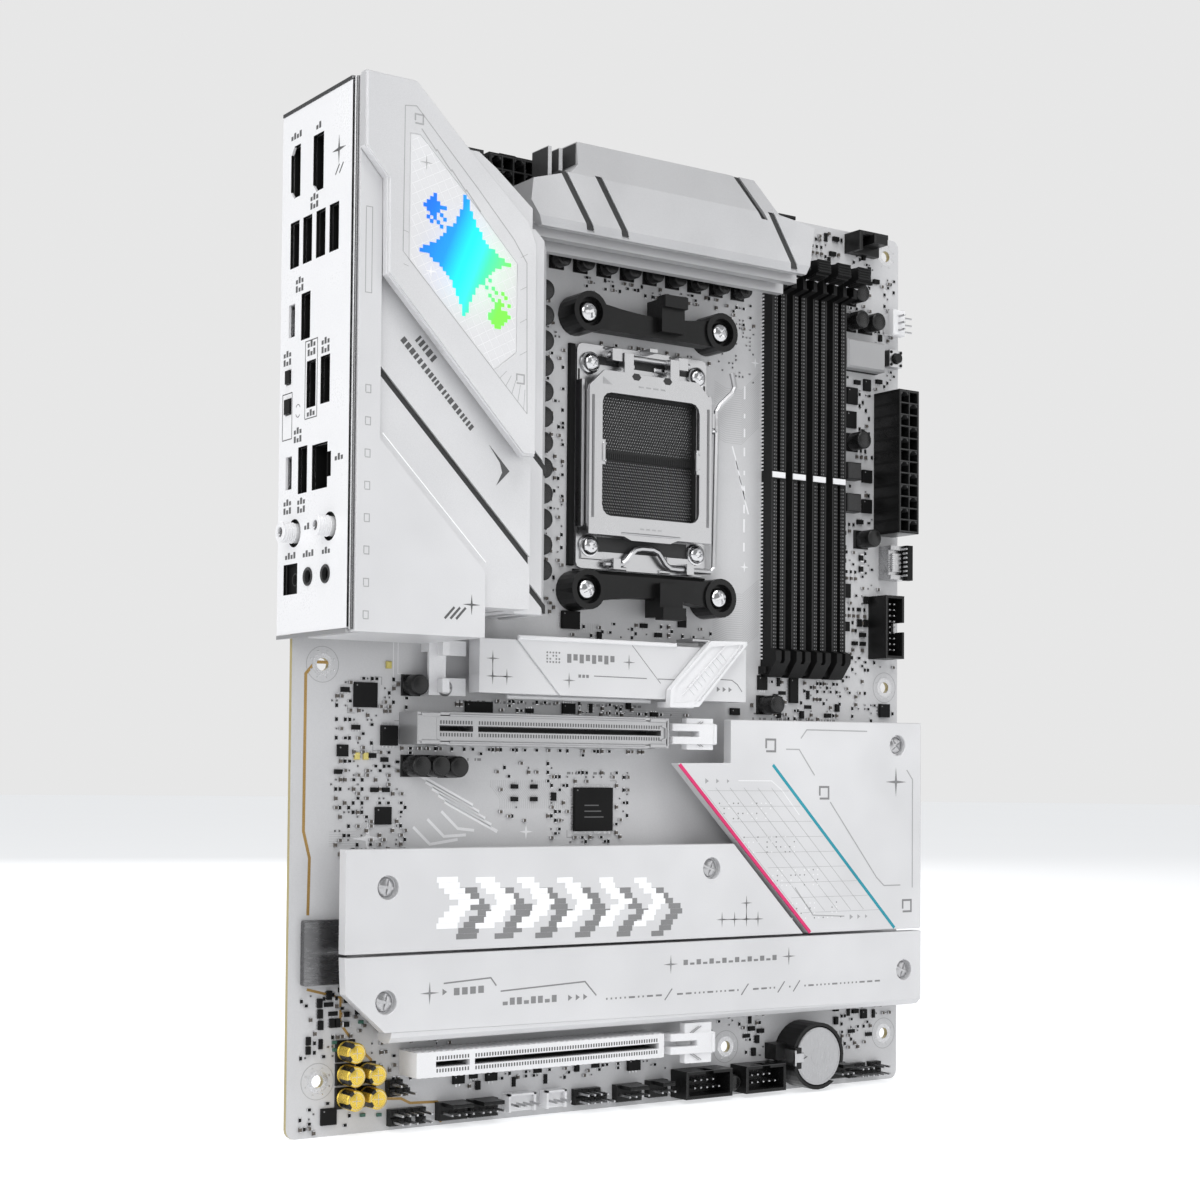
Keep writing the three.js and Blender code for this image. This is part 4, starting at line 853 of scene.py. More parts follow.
for x, z in ((15.6, 27.8), (15.8, 25.6), (24.4, 33.4), (24.4, 36.6), (25.4, 5.4), (31, 5)):
    tiny.tapered(x - 0.8, x + 0.8, 0.02, 0.8, z - 0.5, z + 0.5, 0.1)
tiny.done()
legs_all.done()

# ---- printed marks on the board face
print_dark = Piece("board_print", SILK_GREY, "laminate")
for x0, x1, z0, z1 in ((99.2, 118.6, 88.2, 106.6), (18.8, 30.4, 126.6, 137.8), (27.6, 37.4, 115.4, 124.6),
                       (212.6, 224.6, 252.8, 266)):
    print_dark.ribbon(((x0, z0 + 2.4), (x0, z0), (x0 + 2.4, z0)), 0.16, 0, 0.03)
    print_dark.ribbon(((x1 - 2.4, z1), (x1, z1), (x1, z1 - 2.4)), 0.16, 0, 0.03)
for x0, x1, z in ((58, 130, 130.8), (54, 84, 30.2), (42, 66, 112.6), (99, 118, 108.6), (176, 214, 128)):
    x = x0
    while x < x1:
        length = chance.choice((0.5, 0.9, 1.4))
        print_dark.box(x, x + length, 0, 0.03, z, z + 0.8)
        x += length + chance.choice((0.5, 0.8, 2.2))
print_dark.done()

print_pale = Piece("board_pale_print", SILK_PALE, "laminate")
for shift in (2.3 * i for i in range(5)):
    print_pale.ribbon([(x + shift, z - shift * 0.9) for x, z in ((44, 108), (63.4, 98.6))], 1.1, 0, 0.03)
for i in range(3):
    print_pale.ribbon(((42 + 5 * i, 92 + 2.4 * i), (48 + 5 * i, 86.6 + 2.4 * i), (58 + 3 * i, 88 + 1.4 * i)),
                      0.9, 0, 0.03)
print_pale.star(26.2, 88.6, 5.4, 0, 0.03, 0.18)
print_pale.star(83.4, 90.2, 2.6, 0, 0.03, 0.2)
for i in range(4):
    print_pale.ribbon(((166.6 + 1.5 * i, 222 - 5 * i), (169.4 + 1.5 * i, 214 - 5 * i)), 0.6, 0, 0.03)
for i in range(9):
    z = 186 + 6.6 * i
    print_pale.box(171.6, 172.3, 0, 0.03, z, z + chance.choice((1.6, 3, 4.6)))
print_pale.ribbon(((34.4, 150), (34.4, 137), (39, 137)), 0.2, 0, 0.03)
print_pale.ribbon(((36, 150), (36, 139), (39, 139)), 0.2, 0, 0.03)
print_pale.star(172.2, 180.6, 1.8, 0, 0.03, 0.25)
print_pale.star(176.6, 252, 1.8, 0, 0.03, 0.25)
print_pale.done()

# ---- memory slots
slot_trim = Piece("memory_slot_trim", EDGE_AND_SHADE_GREY, "black_plastic")
slot_pins = Piece("memory_slot_contacts", PAD_GREY, "bright_steel")
slot_dots = Piece("memory_slot_vents", PAD_GREY, "black_plastic")
slot_teeth = Piece("memory_slot_teeth", SILK_PALE, "white_plastic")
key_bars = Piece("memory_slot_keys", SILK_PALE, "white_plastic")
for x in MEMORY_X:
    for z0, z1 in ((149, 211.2), (214.6, 278.8)):
        z = z0
        while z < z1:
            for side in (-1, 1):
                slot_pins.box(x + side * 0.98 - 0.16, x + side * 0.98 + 0.16, 5.4, 5.56, z, z + 0.42)
                slot_dots.box(x + side * 1.9 - 0.26, x + side * 1.9 + 0.26, 5.45, 5.6, z, z + 0.5)
            z += 1.27
        for side in (-1, 1):
            slot_trim.box(x + side * 1.35 - 0.06, x + side * 1.35 + 0.06, 5.4, 5.6, z0, z1)
            slot_trim.box(x + side * 3.04 - 0.1, x + side * 3.04 + 0.14, 0.6, 5.58, z0, z1)
        z = z0
        while z < z1:
            slot_teeth.box(x - 3.5, x - 3.18, 0.02, 1.1, z, z + 0.55)
            z += 1.27
    key_bars.tapered(x - 2.9, x + 2.9, 5.3, 5.85, 211.9, 213.9, 0.12)
for piece in (slot_pins, slot_dots, slot_teeth, slot_trim, key_bars):
    piece.done()
for number, x in enumerate(MEMORY_X, 1):
    grip = Piece(f"memory_latch_ribs_{number}", BLACK_PLASTIC, "black_plastic", f"dimm_latch_{number}")
    for k in range(5):
        z = 282.4 + k * 0.95
        grip.tapered(x - 2.8, x + 2.8, 17.6, 18.95 - 0.08 * k, z, z + 0.42, 0.12)
    for k in range(5):
        h = 12.6 + k * 1.05
        grip.box(x - 2.8, x + 2.8, h, h + 0.45, 280.6 + k * 0.2, 281.6 + k * 0.2)
    grip.use(BRIGHT_WHITE)
    curve = [(x - 2.6 + 0.65 * k, 280.62 + 0.5 * math.cos((k - 4) * 0.36)) for k in range(9)]
    grip.ribbon(curve, 0.34, 11.7, 12.2)
    grip.done()

# ---- expansion slots
slot_fill = Piece("expansion_slot_contacts", PAD_GREY, "armour_steel")
slot_notches = Piece("expansion_slot_notches", SILK_DARK, "armour_steel")
slot_frame = Piece("expansion_slot_armour_trim", PALE_STEEL, "armour_steel")
top = 10.95
for z in CARD_SLOT_Z:
    for x0, x1 in ((44.8, 56.2), (58.6, 128.4)):
        x = x0
        while x < x1:
            for side in (-1, 1):
                slot_notches.box(x, x + 0.5, top - 0.02, top + 0.03, z + side * 1.9 - 0.55,
                                 z + side * 1.9 + 0.55)
                slot_fill.box(x, x + 0.5, 3, 9.4, z + side * 0.72 - 0.1, z + side * 0.72 + 0.1)
            x += 1.0
        slot_frame.use(EDGE_AND_SHADE_GREY)
        slot_frame.box(x0 - 0.2, x1 + 0.2, 2.6, 2.9, z - 0.7, z + 0.7)
slot_frame.use(PALE_STEEL)
for side in (-1, 1):
    z = CARD_SLOT_Z[0] + side * 4.15
    slot_frame.rod(((48, 11.2, z), (122, 11.2, z)), 0.42, 10)
    slot_frame.rod(((48, 9.6, z + side * 0.75), (124, 9.6, z + side * 0.75)), 0.28, 8)
    slot_frame.tapered(38, 44.6, 10.4, 11.7, z - 0.65, z + 0.65, 0.2)
    slot_frame.tapered(124, 130.6, 10.4, 11.7, z - 0.65, z + 0.65, 0.2)
    for k in range(8):
        x = 46 + 11 * k
        slot_frame.tapered(x, x + 5, 0.4, 8.6, min(z + side * 0.75, z + side * 1.0),
                           max(z + side * 0.75, z + side * 1.0), 0.1)
slot_frame.tapered(36.7, 43.4, 10.8, 11.5, 118.2, 126.4, 0.25)
slot_frame.ribbon(((128.6, 119.9), (130.4, 120.6), (130.4, 124), (128.6, 124.7)), 0.4, 10.9, 11.5)
for piece in (slot_fill, slot_notches, slot_frame):
    piece.done()
slot_ribs = Piece("lower_slot_ribs", WHITE_PLASTIC, "white_plastic")
for side in (-1, 1):
    for k in range(44):
        x = 39 + 2.1 * k
        z = CARD_SLOT_Z[1] + side * 3.8
        slot_ribs.tapered(x, x + 0.9, 0.6, 10.4, min(z, z + side * 0.22), max(z, z + side * 0.22), 0.08)
slot_ribs.done()
for index, z, wing in ((1, CARD_SLOT_Z[0], 4.6), (2, CARD_SLOT_Z[1], 6)):
    grip = Piece(f"expansion_latch_marks_{index}", SILK_SOFT, "white_plastic", f"pcie_latch_{index}")
    for side in (-1, 1):
        for k in (0, 1):
            start = (141.4 + k * 1.1, 10.95, z + side * (wing - 2.6))
            end = (144.6 + k * 1.1, 11.5, z + side * (wing - 0.5))
            grip.rod((start, end), 0.16, 6)
    grip.use(WHITE_PLASTIC)
    grip.tapered(149.6, 150.8, 11.8, 12.8, z - 3.2, z + 3.2, 0.3)
    grip.done()

# ---- processor socket
contact_field = Piece("socket_contacts", CONTACT, "bright_steel")
PITCH = 0.98
for row in range(41):
    z = 193.7 + PITCH * row
    if abs(z - SOCKET[1]) < 1.6:
        continue
    for column in range(39):
        x = 108.9 + PITCH * column + (0.49 if row % 2 else 0)
        lean = 0.26 if z > SOCKET[1] else -0.26
        contact_field.loft((((x - 0.2, 2.38, z - 0.17), (x + 0.2, 2.38, z - 0.17), (x + 0.2, 2.38, z + 0.17),
                             (x - 0.2, 2.38, z + 0.17)),
                            ((x - 0.13, 2.82, z - 0.1 + lean), (x + 0.13, 2.82, z - 0.1 + lean),
                             (x + 0.13, 2.82, z + 0.1 + lean), (x - 0.13, 2.82, z + 0.1 + lean))))
contact_field.use(RESIN)
for column in range(48):
    x = 109 + 0.78 * column
    contact_field.box(x, x + 0.4, 2.85, 3.15, SOCKET[1] - 0.9, SOCKET[1] + 0.9)
contact_field.done()

frame_trim = Piece("socket_frame_trim", STEEL, "bright_steel")
for side in (-1, 1):
    x = SOCKET[0] + side * 26.2
    frame_trim.rod(((x - side * 1.6, 1.6, 190), (x - side * 1.6, 1.6, 237)), 0.5, 10)
    frame_trim.rod(((x - side * 2.9, 1.5, 190), (x - side * 2.9, 1.5, 237)), 0.35, 8)
    clip_x = SOCKET[0] + side * 13.6
    frame_trim.rod([(clip_x + 2.3 * math.cos(a), 1.4 + 0.7 * math.sin(a), 249) for a in
                    (math.pi * k / 8 for k in range(9))], 0.45, 8)
    frame_trim.tapered(SOCKET[0] + side * 6.6 - 2.6, SOCKET[0] + side * 6.6 + 2.6, 1.2, 2.3, 243.2, 244.6,
                       0.3)
for x in (SOCKET[0] - 9, SOCKET[0] + 9):
    frame_trim.tapered(x - 2.2, x + 2.2, 1.2, 2.2, 175.9, 177, 0.25)
for x0, x1 in ((102.4, 111), (137.6, 148)):
    frame_trim.tapered(x0, x1, 1.25, 2.0, 178.8, 181.6, 0.2)
frame_trim.rod([(155.4 + 1.5 * math.cos(a), 3 + 1.7 * math.sin(a),
                 225.2) for a in (math.pi * k / 8 for k in range(-2, 9))],
               0.5, 8)
# Painted shade: dark strips in the gaps beside the load plate, under its hinge and under the lip at the far
# end, where shade falls.
frame_trim.use(EDGE_AND_SHADE_GREY)
for x in (101.5, 153.2):
    frame_trim.box(x - 0.35, x + 0.35, 1.2, 1.36, 187, 241)
frame_trim.box(108.4, 146.6, 1.2, 1.38, 243.2, 246)
frame_trim.box(109, 146, 1.2, 1.38, 181.6, 186.4)
frame_trim.use(DEEP_BLACK)
frame_trim.tapered(SOCKET[0] - 29.6, SOCKET[0] - 27.2, 0, 1.4, 176.4, 249, 0.3)
frame_trim.tapered(SOCKET[0] - 27.2, SOCKET[0] + 27, 0, 0.9, 173.7, 175.5, 0.3)
frame_trim.done()

plate_marks = Piece("load_plate_marks", SILK_SOFT, "bright_steel", body="load_plate")
plate_marks.prism(((107.6, 236), (111.4, 236), (107.6, 238.4)), 6.38, 6.43)
for k in range(4):
    plate_marks.box(122 + 3 * k, 124 + 3 * k, 6.38, 6.43, 236.2, 236.7)
    plate_marks.box(123 + 2.4 * k, 124.6 + 2.4 * k, 6.38, 6.43, 189.2, 189.7)
# Painted shade: two dark hexagons standing for the plate's cut-outs beside the hinge, with the shade seen
# through them.
plate_marks.use(EDGE_AND_SHADE_GREY)
for x in (SOCKET[0] - 6.4, SOCKET[0] + 6.4):
    plate_marks.prism([(x + 1.9 * math.cos(math.pi * k / 3),
                        239.6 + 1.3 * math.sin(math.pi * k / 3)) for k in range(6)],
                      6.35, 6.43)
plate_marks.use(STEEL)
for side in (-1, 1):
    x = SOCKET[0] + side * 19.2
    oval = []
    for k in range(13):
        a = math.pi * k / 12
        oval.append((x + 0.75 * math.cos(a), 6.45, 216 + 0.8 * math.sin(a)))
    for k in range(13):
        a = math.pi + math.pi * k / 12
        oval.append((x + 0.75 * math.cos(a), 6.45, 211.4 + 0.8 * math.sin(a)))
    plate_marks.rod(oval, 0.2, 6)
    plate_marks.rod(((x + side * 4.4, 6.3, 192), (x + side * 4.4, 6.3, 232)), 0.5, 8)
plate_marks.rod([(SOCKET[0] - 12 + 2 * k, 6.2 + 0.25 * math.sin(k * 0.26), 187.6) for k in range(13)], 0.4, 8)
plate_marks.done()

# ---- power connectors
power_trim = Piece("power_connector_trim", EDGE_AND_SHADE_GREY, "black_plastic")
power_pins = Piece("power_connector_pins", CONTACT, "bright_steel")
for x0, z0, columns, rows in EDGE_SOCKETS:
    for i in range(columns):
        for j in range(rows):
            x = x0 + 0.6 + POWER_PITCH * i + 2.1
            z = z0 + 0.6 + POWER_PITCH * j + 2.1
            power_pins.pin(x, z, 0.5, 3.9, 10.4, 0.25)
            if (i + j) % 2:
                for sx in (-1, 1):
                    power_trim.prism(((x + sx * 1.76, z + 1.76), (x + sx * 0.7, z + 1.76),
                                      (x + sx * 1.76, z + 0.7)), 6, 13.35)
    for i in range(columns + 1):
        x = x0 + 0.6 + POWER_PITCH * i
        power_trim.box(x - 0.14, x + 0.14, 13.3, 13.5, z0 + 0.3, z0 + rows * POWER_PITCH + 0.9)
    for j in range(rows + 1):
        z = z0 + 0.6 + POWER_PITCH * j
        power_trim.box(x0 + 0.3, x0 + columns * POWER_PITCH + 0.9, 13.3, 13.49, z - 0.14, z + 0.14)
power_trim.use(DEEP_BLACK)
for j in range(13):
    z = 195.9 + POWER_PITCH * j
    power_trim.box(231.84, 232.05, 0.6, 12.8, z, z + 0.9)
power_trim.done()
power_pins.done()

# ---- board-edge headers
headers = Piece("pin_headers", BLACK_PLASTIC, "black_plastic")
header_pins = Piece("header_pins", CONTACT, "bright_steel")
white_headers = Piece("white_headers", WHITE_PLASTIC, "white_plastic")


def pin_row(x0, z0, columns, rows, base=2.5, tip=8.4, skip=()):
    """A bare header on a PIN_PITCH mm pitch."""
    for i in range(columns):
        for j in range(rows):
            if (i, j) in skip:
                continue
            x, z = x0 + PIN_PITCH * i, z0 + PIN_PITCH * j
            headers.tapered(x - 1.25, x + 1.25, 0.02, base, z - 1.25, z + 1.25, 0.35)
            header_pins.pin(x, z, 0.32, base - 0.2, tip, 0.2)
    claim(x0 - 1.3, x0 + PIN_PITCH * columns - 1.2, z0 - 1.3, z0 + PIN_PITCH * rows - 1.2)


def fan_header(piece, x0, z0, pins, upright=False, guide=True):
    """A fan-style header: a base, a guide wall behind it and pins on a PIN_PITCH mm pitch."""
    length = PIN_PITCH * pins
    if upright:
        piece.tapered(x0, x0 + 5.6, 0.02, 3, z0, z0 + length, 0.3)
        if guide:
            piece.tapered(x0, x0 + 1.2, 2.6, 9, z0 + 1.3, z0 + length - 1.3, 0.3)
    else:
        piece.tapered(x0, x0 + length, 0.02, 3, z0, z0 + 5.6, 0.3)
        if guide:
            piece.tapered(x0 + 1.3, x0 + length - 1.3, 2.6, 9, z0 + 4.4, z0 + 5.6, 0.3)
    for i in range(pins):
        x, z = (x0 + 2.6, z0 + 1.27 + PIN_PITCH * i) if upright else (x0 + 1.27 + PIN_PITCH * i, z0 + 2.4)
        header_pins.pin(x, z, 0.32, 2.8, 8.8, 0.2)
    claim(x0, x0 + (5.6 if upright else length), z0, z0 + (length if upright else 5.6))


pin_row(34.4, 11.6, 3, 2, skip=((2, 1),))
pin_row(35, 2.6, 5, 2, skip=((3, 0),))
fan_header(headers, 50.8, 1.6, 4)
fan_header(headers, 62, 1.6, 4)
for x0, pins in ((75.2, 4), (89.4, 3)):
    fan_header(white_headers, x0, 2.4, pins, guide=False)
    white_headers.box(x0, x0 + 0.8, 2.8, 4.4, 2.4, 8)
    white_headers.box(x0 + PIN_PITCH * pins - 0.8, x0 + PIN_PITCH * pins, 2.8, 4.4, 2.4, 8)
    white_headers.box(x0, x0 + PIN_PITCH * pins, 2.8, 4.4, 7.4, 8)
pin_row(103, 3.4, 5, 2, skip=((4, 1),))
for row in ((117.8, 1.8, 4), (131, 2.2, 3), (209.4, 2.4, 3)):
    fan_header(headers, *row)
pin_row(220.6, 3.2, 6, 2, skip=((3, 1),))
for row in ((217.6, 231.8, 0.02, 3.2, 296.6, 303.6, 0.4), (217.6, 219.2, 2.8, 8.4, 296.6, 303.6, 0.4),
            (219.2, 231.4, 2.8, 8.4, 302, 303.6, 0.4), (223, 229.4, 2.8, 10.4, 299.2, 302.4, 0.5)):
    headers.tapered(*row)
claim(217.6, 231.8, 296.6, 303.6)
fan_header(headers, 178.4, 297.6, 4)
for i in range(3):
    for j in range(2):
        pin_row(74.4 + 1.3 + PIN_PITCH * i, 161.6 + 1.3 + PIN_PITCH * j, 1, 1)
fan_header(white_headers, 236.6, 269.4, 3, upright=True, guide=False)
white_headers.tapered(236.6, 242.4, 2.6, 5.4, 268.8, 278.2, 0.3)
for k in range(3):
    z = 270.6 + PIN_PITCH * k
    header_pins.rod(((241.8, 4.4, z), (246.2, 4.5, z)), 0.32, 8)
for x0, x1, z0, z1 in USB_HEADERS:
    for i in range(5):
        for j in range(2):
            if (i, j) == (4, 1):
                continue
            x = (x0 + x1) / 2 + PIN_PITCH * (i - 2)
            z = 4.8 + PIN_PITCH * j
            header_pins.pin(x, z, 0.32, 1.9, 7.6, 0.2)
for i in range(2):
    for j in range(9):
        x, z = 233 + 2.1 * i, 154.2 + 2.05 * j
        header_pins.pin(x, z, 0.28, 2.1, 8, 0.2)
headers.use(EDGE_AND_SHADE_GREY)
for x0, x1, z0, z1, top in ((141.8, 161.2, 1.4, 10.6, 8.8), (167.2, 184.6, 1.4, 10.6, 8.8),
                            (229.6, 238.4, 151, 173.6, 9.4)):
    for a, b, c, d in ((x0, x1, z0, z0 + 0.25), (x0, x0 + 0.25, z0, z1), (x0, x1, z1 - 0.25, z1)):
        headers.box(a, b, top - 0.05, top + 0.06, c, d)
headers.done()
white_headers.done()
header_pins.done()

front_usb = Piece("front_port_fittings", CONTACT, "port_steel")
for k in range(9):
    z = 182.6 + 0.74 * k
    front_usb.box(235.2, 236.4, 6.36, 6.5, z, z + 0.34)
front_usb.use(DEEP_BLACK)
front_usb.tapered(240.8, 243.6, 5.8, 8.6, 179.6, 192.2, 0.3)
front_usb.use(CONTACT)
for k in range(7):
    z = 181 + 1.6 * k
    front_usb.tapered(240.6, 241.3, 6.2, 8.4, z, z + 0.7, 0.15)
front_usb.done()

button_trim = Piece("start_button_fittings", STEEL, "port_steel")
for sx in (-1, 1):
    for sz in (-1, 1):
        button_trim.use(DEEP_BLACK)
        button_trim.turned(239.6 + sx * 2.3, 260.6 + sz * 2.3, ((0.55, 3.4), (0.55, 3.75), (0.35, 3.85)), 12)
        button_trim.use(SOLDER)
        button_trim.box(239.6 + sx * 3.9 - 0.6, 239.6 + sx * 3.9 + 0.6, 0.05, 0.3, 260.6 + sz * 2 - 0.4,
                        260.6 + sz * 2 + 0.4)
button_trim.use(EDGE_AND_SHADE_GREY)
button_trim.box(236.3, 236.6, 0.3, 3.3, 257.8, 263.4)
button_trim.done()

# ---- coin cell, its clip and the holder's trim
clip = Piece("cell_clip", STEEL, "cell_steel")
for row in ((186.4, 187.1, 2, 11.6, 9.6, 15, 0.2), (186.4, 190.4, 10.6, 11.5, 10.6, 14, 0.25),
            (208.8, 212, 5.9, 6.5, 12.2, 16, 0.2)):
    clip.tapered(*row)
clip.rod(((188, 10.55, 10.2), (192.6, 10.42, 12.4), (188, 10.55, 14.4)), 0.25, 6)
clip.done()
cell_rings = Piece("cell_rings", CELL_STEEL, "cell_steel")
cell_rings.ring(*COIN_CELL, 9.1, 9.35, 10.28, 10.36, 48)
cell_rings.ring(*COIN_CELL, 3.1, 3.25, 10.28, 10.34, 32)
cell_rings.done()


# ---- plate decoration
plate_print = Piece("plate_print", SILK_GREY, "white_metal")
TOP = 13.0
INK = (TOP - 0.01, TOP + 0.05)
CHEVRON_ROWS = 9
for finish, dx, dz, lift in ((SILK_GREY, 7, -3.4, 0.05), (BRIGHT_WHITE, 0, 0, 0.1)):
    plate_print.use(finish)
    for i in range(6):
        for k in range(CHEVRON_ROWS):
            x = 41 + 15 * i + 8.4 - 1.9 * abs(k - 4) + (1.2 if (i + k) % 4 == 0 else 0) + dx
            z = 77.2 - 0.35 * i - 1.75 * k + dz
            plate_print.box(x, x + 7.4 - 0.5 * i, TOP - 0.01, TOP + lift, z - 1.72, z)
plate_print.use(SILK_GREY)
for x, z in ((153, 60.8), (158.3, 60.7), (163.4, 60.6), (168.4, 60.5), (163.4, 66)):
    plate_print.star(x, z, 2.5, *INK)
plate_print.ribbon(((153, 60.8), (168.4, 60.5)), 0.22, *INK)
plate_print.ribbon(((163.4, 60.6), (163.4, 66)), 0.22, *INK)
for x, z, reach in ((40.9, 42.3, 3.4), (131.8, 46.9, 3), (182, 47.4, 3), (231.2, 106.9, 5)):
    plate_print.star(x, z, reach, *INK)
plate_print.arrow(45.4, 42.4, 2, *INK)
plate_print.ribbon(((45.8, 45), (62.6, 45.9), (64.6, 43.4)), 0.45, *INK)
plate_print.ribbon(((66.2, 41.6), (97.8, 43), (102.2, 38.4)), 0.45, *INK)
for k in range(4):
    plate_print.box(49.4 + 2.9 * k, 51.4 + 2.9 * k, *INK, 41.2 + 0.08 * k, 43.4 + 0.08 * k)
for k in range(8):
    plate_print.box(67 + 2.6 * k, 68.8 + 2.6 * k, *INK, 37.2, 37.2 + (2.2 if k % 3 else 1.1))
for k in range(3):
    plate_print.arrow(91.4 + 2.9 * k, 38.2, 1.9, *INK)
for k in range(15):
    plate_print.box(137 + 2.7 * k, 138.8 + 2.7 * k, *INK, 46.4, 46.4 + (0.7 if k % 2 else 1.7))
dash_x = 106
while dash_x < 222:
    length = chance.choice((0.6, 0.6, 2.4))
    if chance.random() < 0.1:
        plate_print.ribbon(((dash_x, 35.4), (dash_x + 3, 39)), 0.4, *INK)
        dash_x += 5
    plate_print.box(dash_x, dash_x + length, *INK, 36.8, 37.4)
    dash_x += length + 1.2
plate_print.use(SILK_SOFT)
for row in ((((187, 121.6), (189.6, 124.6), (217.4, 124.6)), 0.4),
            (((180.4, 117.8), (186.2, 117.8), (193.2, 109)), 0.4),
            (((200.4, 99.8), (222, 73.4), (225.6, 70.4), (233.4, 70.4)), 0.4),
            (((236.4, 111.2), (239.2, 107.8), (239.2, 69.4)), 0.4),
            (((184.6, 70.6), (192.8, 61), (207, 60.2)), 0.35)):
    plate_print.ribbon(*row, *INK)
for k in range(3):
    plate_print.arrow(145.6 + 4.6 * k, 106.8, 1.8 - 0.3 * k, *INK)
    plate_print.arrow(209.6 + 3.6 * k, 59.9, 1.8 - 0.3 * k, *INK)
plate_print.use(SILK_GREY)
for x, z in ((173.6, 119), (197.6, 103), (236.6, 63)):
    plate_print.outline(x - 2, x + 2, z - 2, z + 2, 0.7, *INK, gap=1)
plate_print.use(SILK_PALE)
plate_print.ribbon(((159.6, 107), (174, 107), (178.4, 104), (186.4, 95.4)), 0.4, *INK)
plate_print.use(SILK_SOFT)
for k in range(9):
    z = 62 + 5.2 * k
    left = 134.6 + (112.6 - z) * 1.0
    plate_print.ribbon(((left + 3, z), (left + 38, z)), 0.1, *INK)
for k in range(6):
    plate_print.ribbon(((144 + 6 * k, 104.6), (186 + 6 * k, 62.4)), 0.1, *INK)
for row in range(4):
    for k in range(12):
        for level in range(4):
            if chance.random() < 0.62:
                x = 151.6 + 10.6 * row + 2.0 * k
                z = 99.4 - 11.4 * row - 1.7 * level
                plate_print.use(SILK_GREY if chance.random() < 0.3 else SILK_PALE)
                plate_print.turned(x, z, ((0.28, INK[0]), (0.28, INK[1])), 6)
plate_print.use(MAGENTA)
plate_print.ribbon(((134.9, 112.2), (191.5, 55.2)), 1.1, TOP - 0.3, TOP + 0.12)
plate_print.use(TEAL)
plate_print.ribbon(((174.6, 112.4), (230.6, 55.4)), 1.1, TOP - 0.01, TOP + 0.1)
plate_print.done()

drive_print = Piece("drive_cover_print", SILK_GREY, "white_metal")
INK12 = (11.99, 12.05)
for x, z in ((62.8, 144.3), (62.8, 138.8), (68, 138.8), (91.4, 138.4), (114.8, 145)):
    drive_print.star(x, z, 2.5, *INK12)
drive_print.ribbon(((62.8, 144.3), (62.8, 138.8), (68, 138.8)), 0.22, *INK12)
for i in range(5):
    for j in range(4):
        if (i * j) % 3 != 2:
            drive_print.turned(83 + 1.15 * i, 144 + 1.0 * j, ((0.34, INK12[0]), (0.34, INK12[1])), 6)
for k in range(8):
    drive_print.box(90.6 + 2.4 * k, 92.2 + 2.4 * k, *INK12, 144 + (k % 2) * 0.8, 146.8)
for k in range(3):
    drive_print.box(95 + 1.5 * k, 96 + 1.5 * k, *INK12, 139.4, 140.4)
    drive_print.arrow(151 + 2.5 * k, 137.4, 1.7, *INK12)
for row in ((((101, 140.1), (122, 140)), 0.3), (((126.6, 140), (134, 140)), 0.3),
            (((150.4, 140.8), (157.4, 140.6), (159.8, 139.2), (161.8, 136.8)), 0.3),
            (((116, 150.6), (127.6, 138.6)), 0.2)):
    drive_print.ribbon(*row, *INK12)
drive_print.use(WHITE_PLASTIC)
drive_print.tapered(72, 134, 11.4, 12.6, 150.6, 152.0, 0.3)
drive_print.tapered(72, 128, 5, 6.4, 132.2, 133.4, 0.3)
drive_print.done()

latch_ribs = Piece("drive_latch_ribs", WHITE_PLASTIC, "white_plastic", "m2_latch")
for k in range(9):
    t = 0.12 + 0.085 * k
    x, z = 136 + 20 * t, 134.6 + 17 * t
    latch_ribs.ribbon(((x - 1.4, z + 1.3), (x + 1.3, z - 1.2)), 0.45, 14.15, 14.45)
latch_ribs.ribbon(((134.4, 134.9), (152.8, 152.1)), 0.3, 14.75, 14.95)
latch_ribs.ribbon(((139.6, 132.2), (158.8, 152.2)), 0.3, 14.75, 14.95)
latch_ribs.done()
drive_clip = Piece("drive_cover_clips", STEEL, "armour_steel")
drive_clip.tapered(140, 147.2, 4, 13.2, 152.9, 153.9, 0.3)
drive_clip.stamp(SMALL_CROSS, 49.6, 5.2, 134.9)
drive_clip.use(DARK_STEEL)
drive_clip.tapered(130, 164, 0.05, 3, 134, 150, 0.3)
drive_clip.done()

# ---- painted shade in the heatsink grooves, and decoration on the cover
# Painted shade: dark strips laid in the heatsinks' grooves and in the slits between their blocks, where shade
# falls.
groove_shade = Piece("heatsink_groove_shadows", EDGE_AND_SHADE_GREY, "white_metal")
groove_shade.prism(((5.6, 221.7), (56.6, 170.6), (56.6, 173), (5.6, 224)), 39.4, 40.9)
for z in (159, 201.5):
    groove_shade.prism(((57.4, z + 13.5), (72.2, z - 1.3), (72.2, z + 1.2), (57.4, z + 16)), 25.4, 26.9)
for x in (87.4, 100.8, 170.4):
    rings = []
    for z, top in ((278.6, 28.2), (280.2, 28.7), (294.2, 31.1)):
        left = x - 14.6 * (z - 277) / 17.6
        rings.append(((left + 0.15, 27.1, z), (left + 2.45, 27.1, z), (left + 2.45, top, z),
                      (left + 0.15, top, z)))
    groove_shade.loft(rings)
groove_shade.prism(((141.6, 304.3), (153.8, 292.2), (156, 292.2), (144, 304.3)), 29.2, 30.2)
for x, h0, h1, z0, z1 in ((71.72, 18.2, 26.8, 288.3, 302.3), (75.72, 18.2, 26.8, 288.3, 302.3),
                          (79.92, 15.2, 30, 297.4, 304)):
    groove_shade.box(x - 0.12, x + 0.04, h0, h1, z0, z1)
groove_shade.done()
cover_print = Piece("cover_print", SILK_DARK, "white_metal")
INK41 = (41.49, 41.56)


def slanted(u, v):
    """A place on the left heatsink: u runs down its slanted rows and v climbs across them."""
    return 12.6 + 0.7071 * u + 0.7071 * v, 232.4 - 0.7071 * u + 0.7071 * v


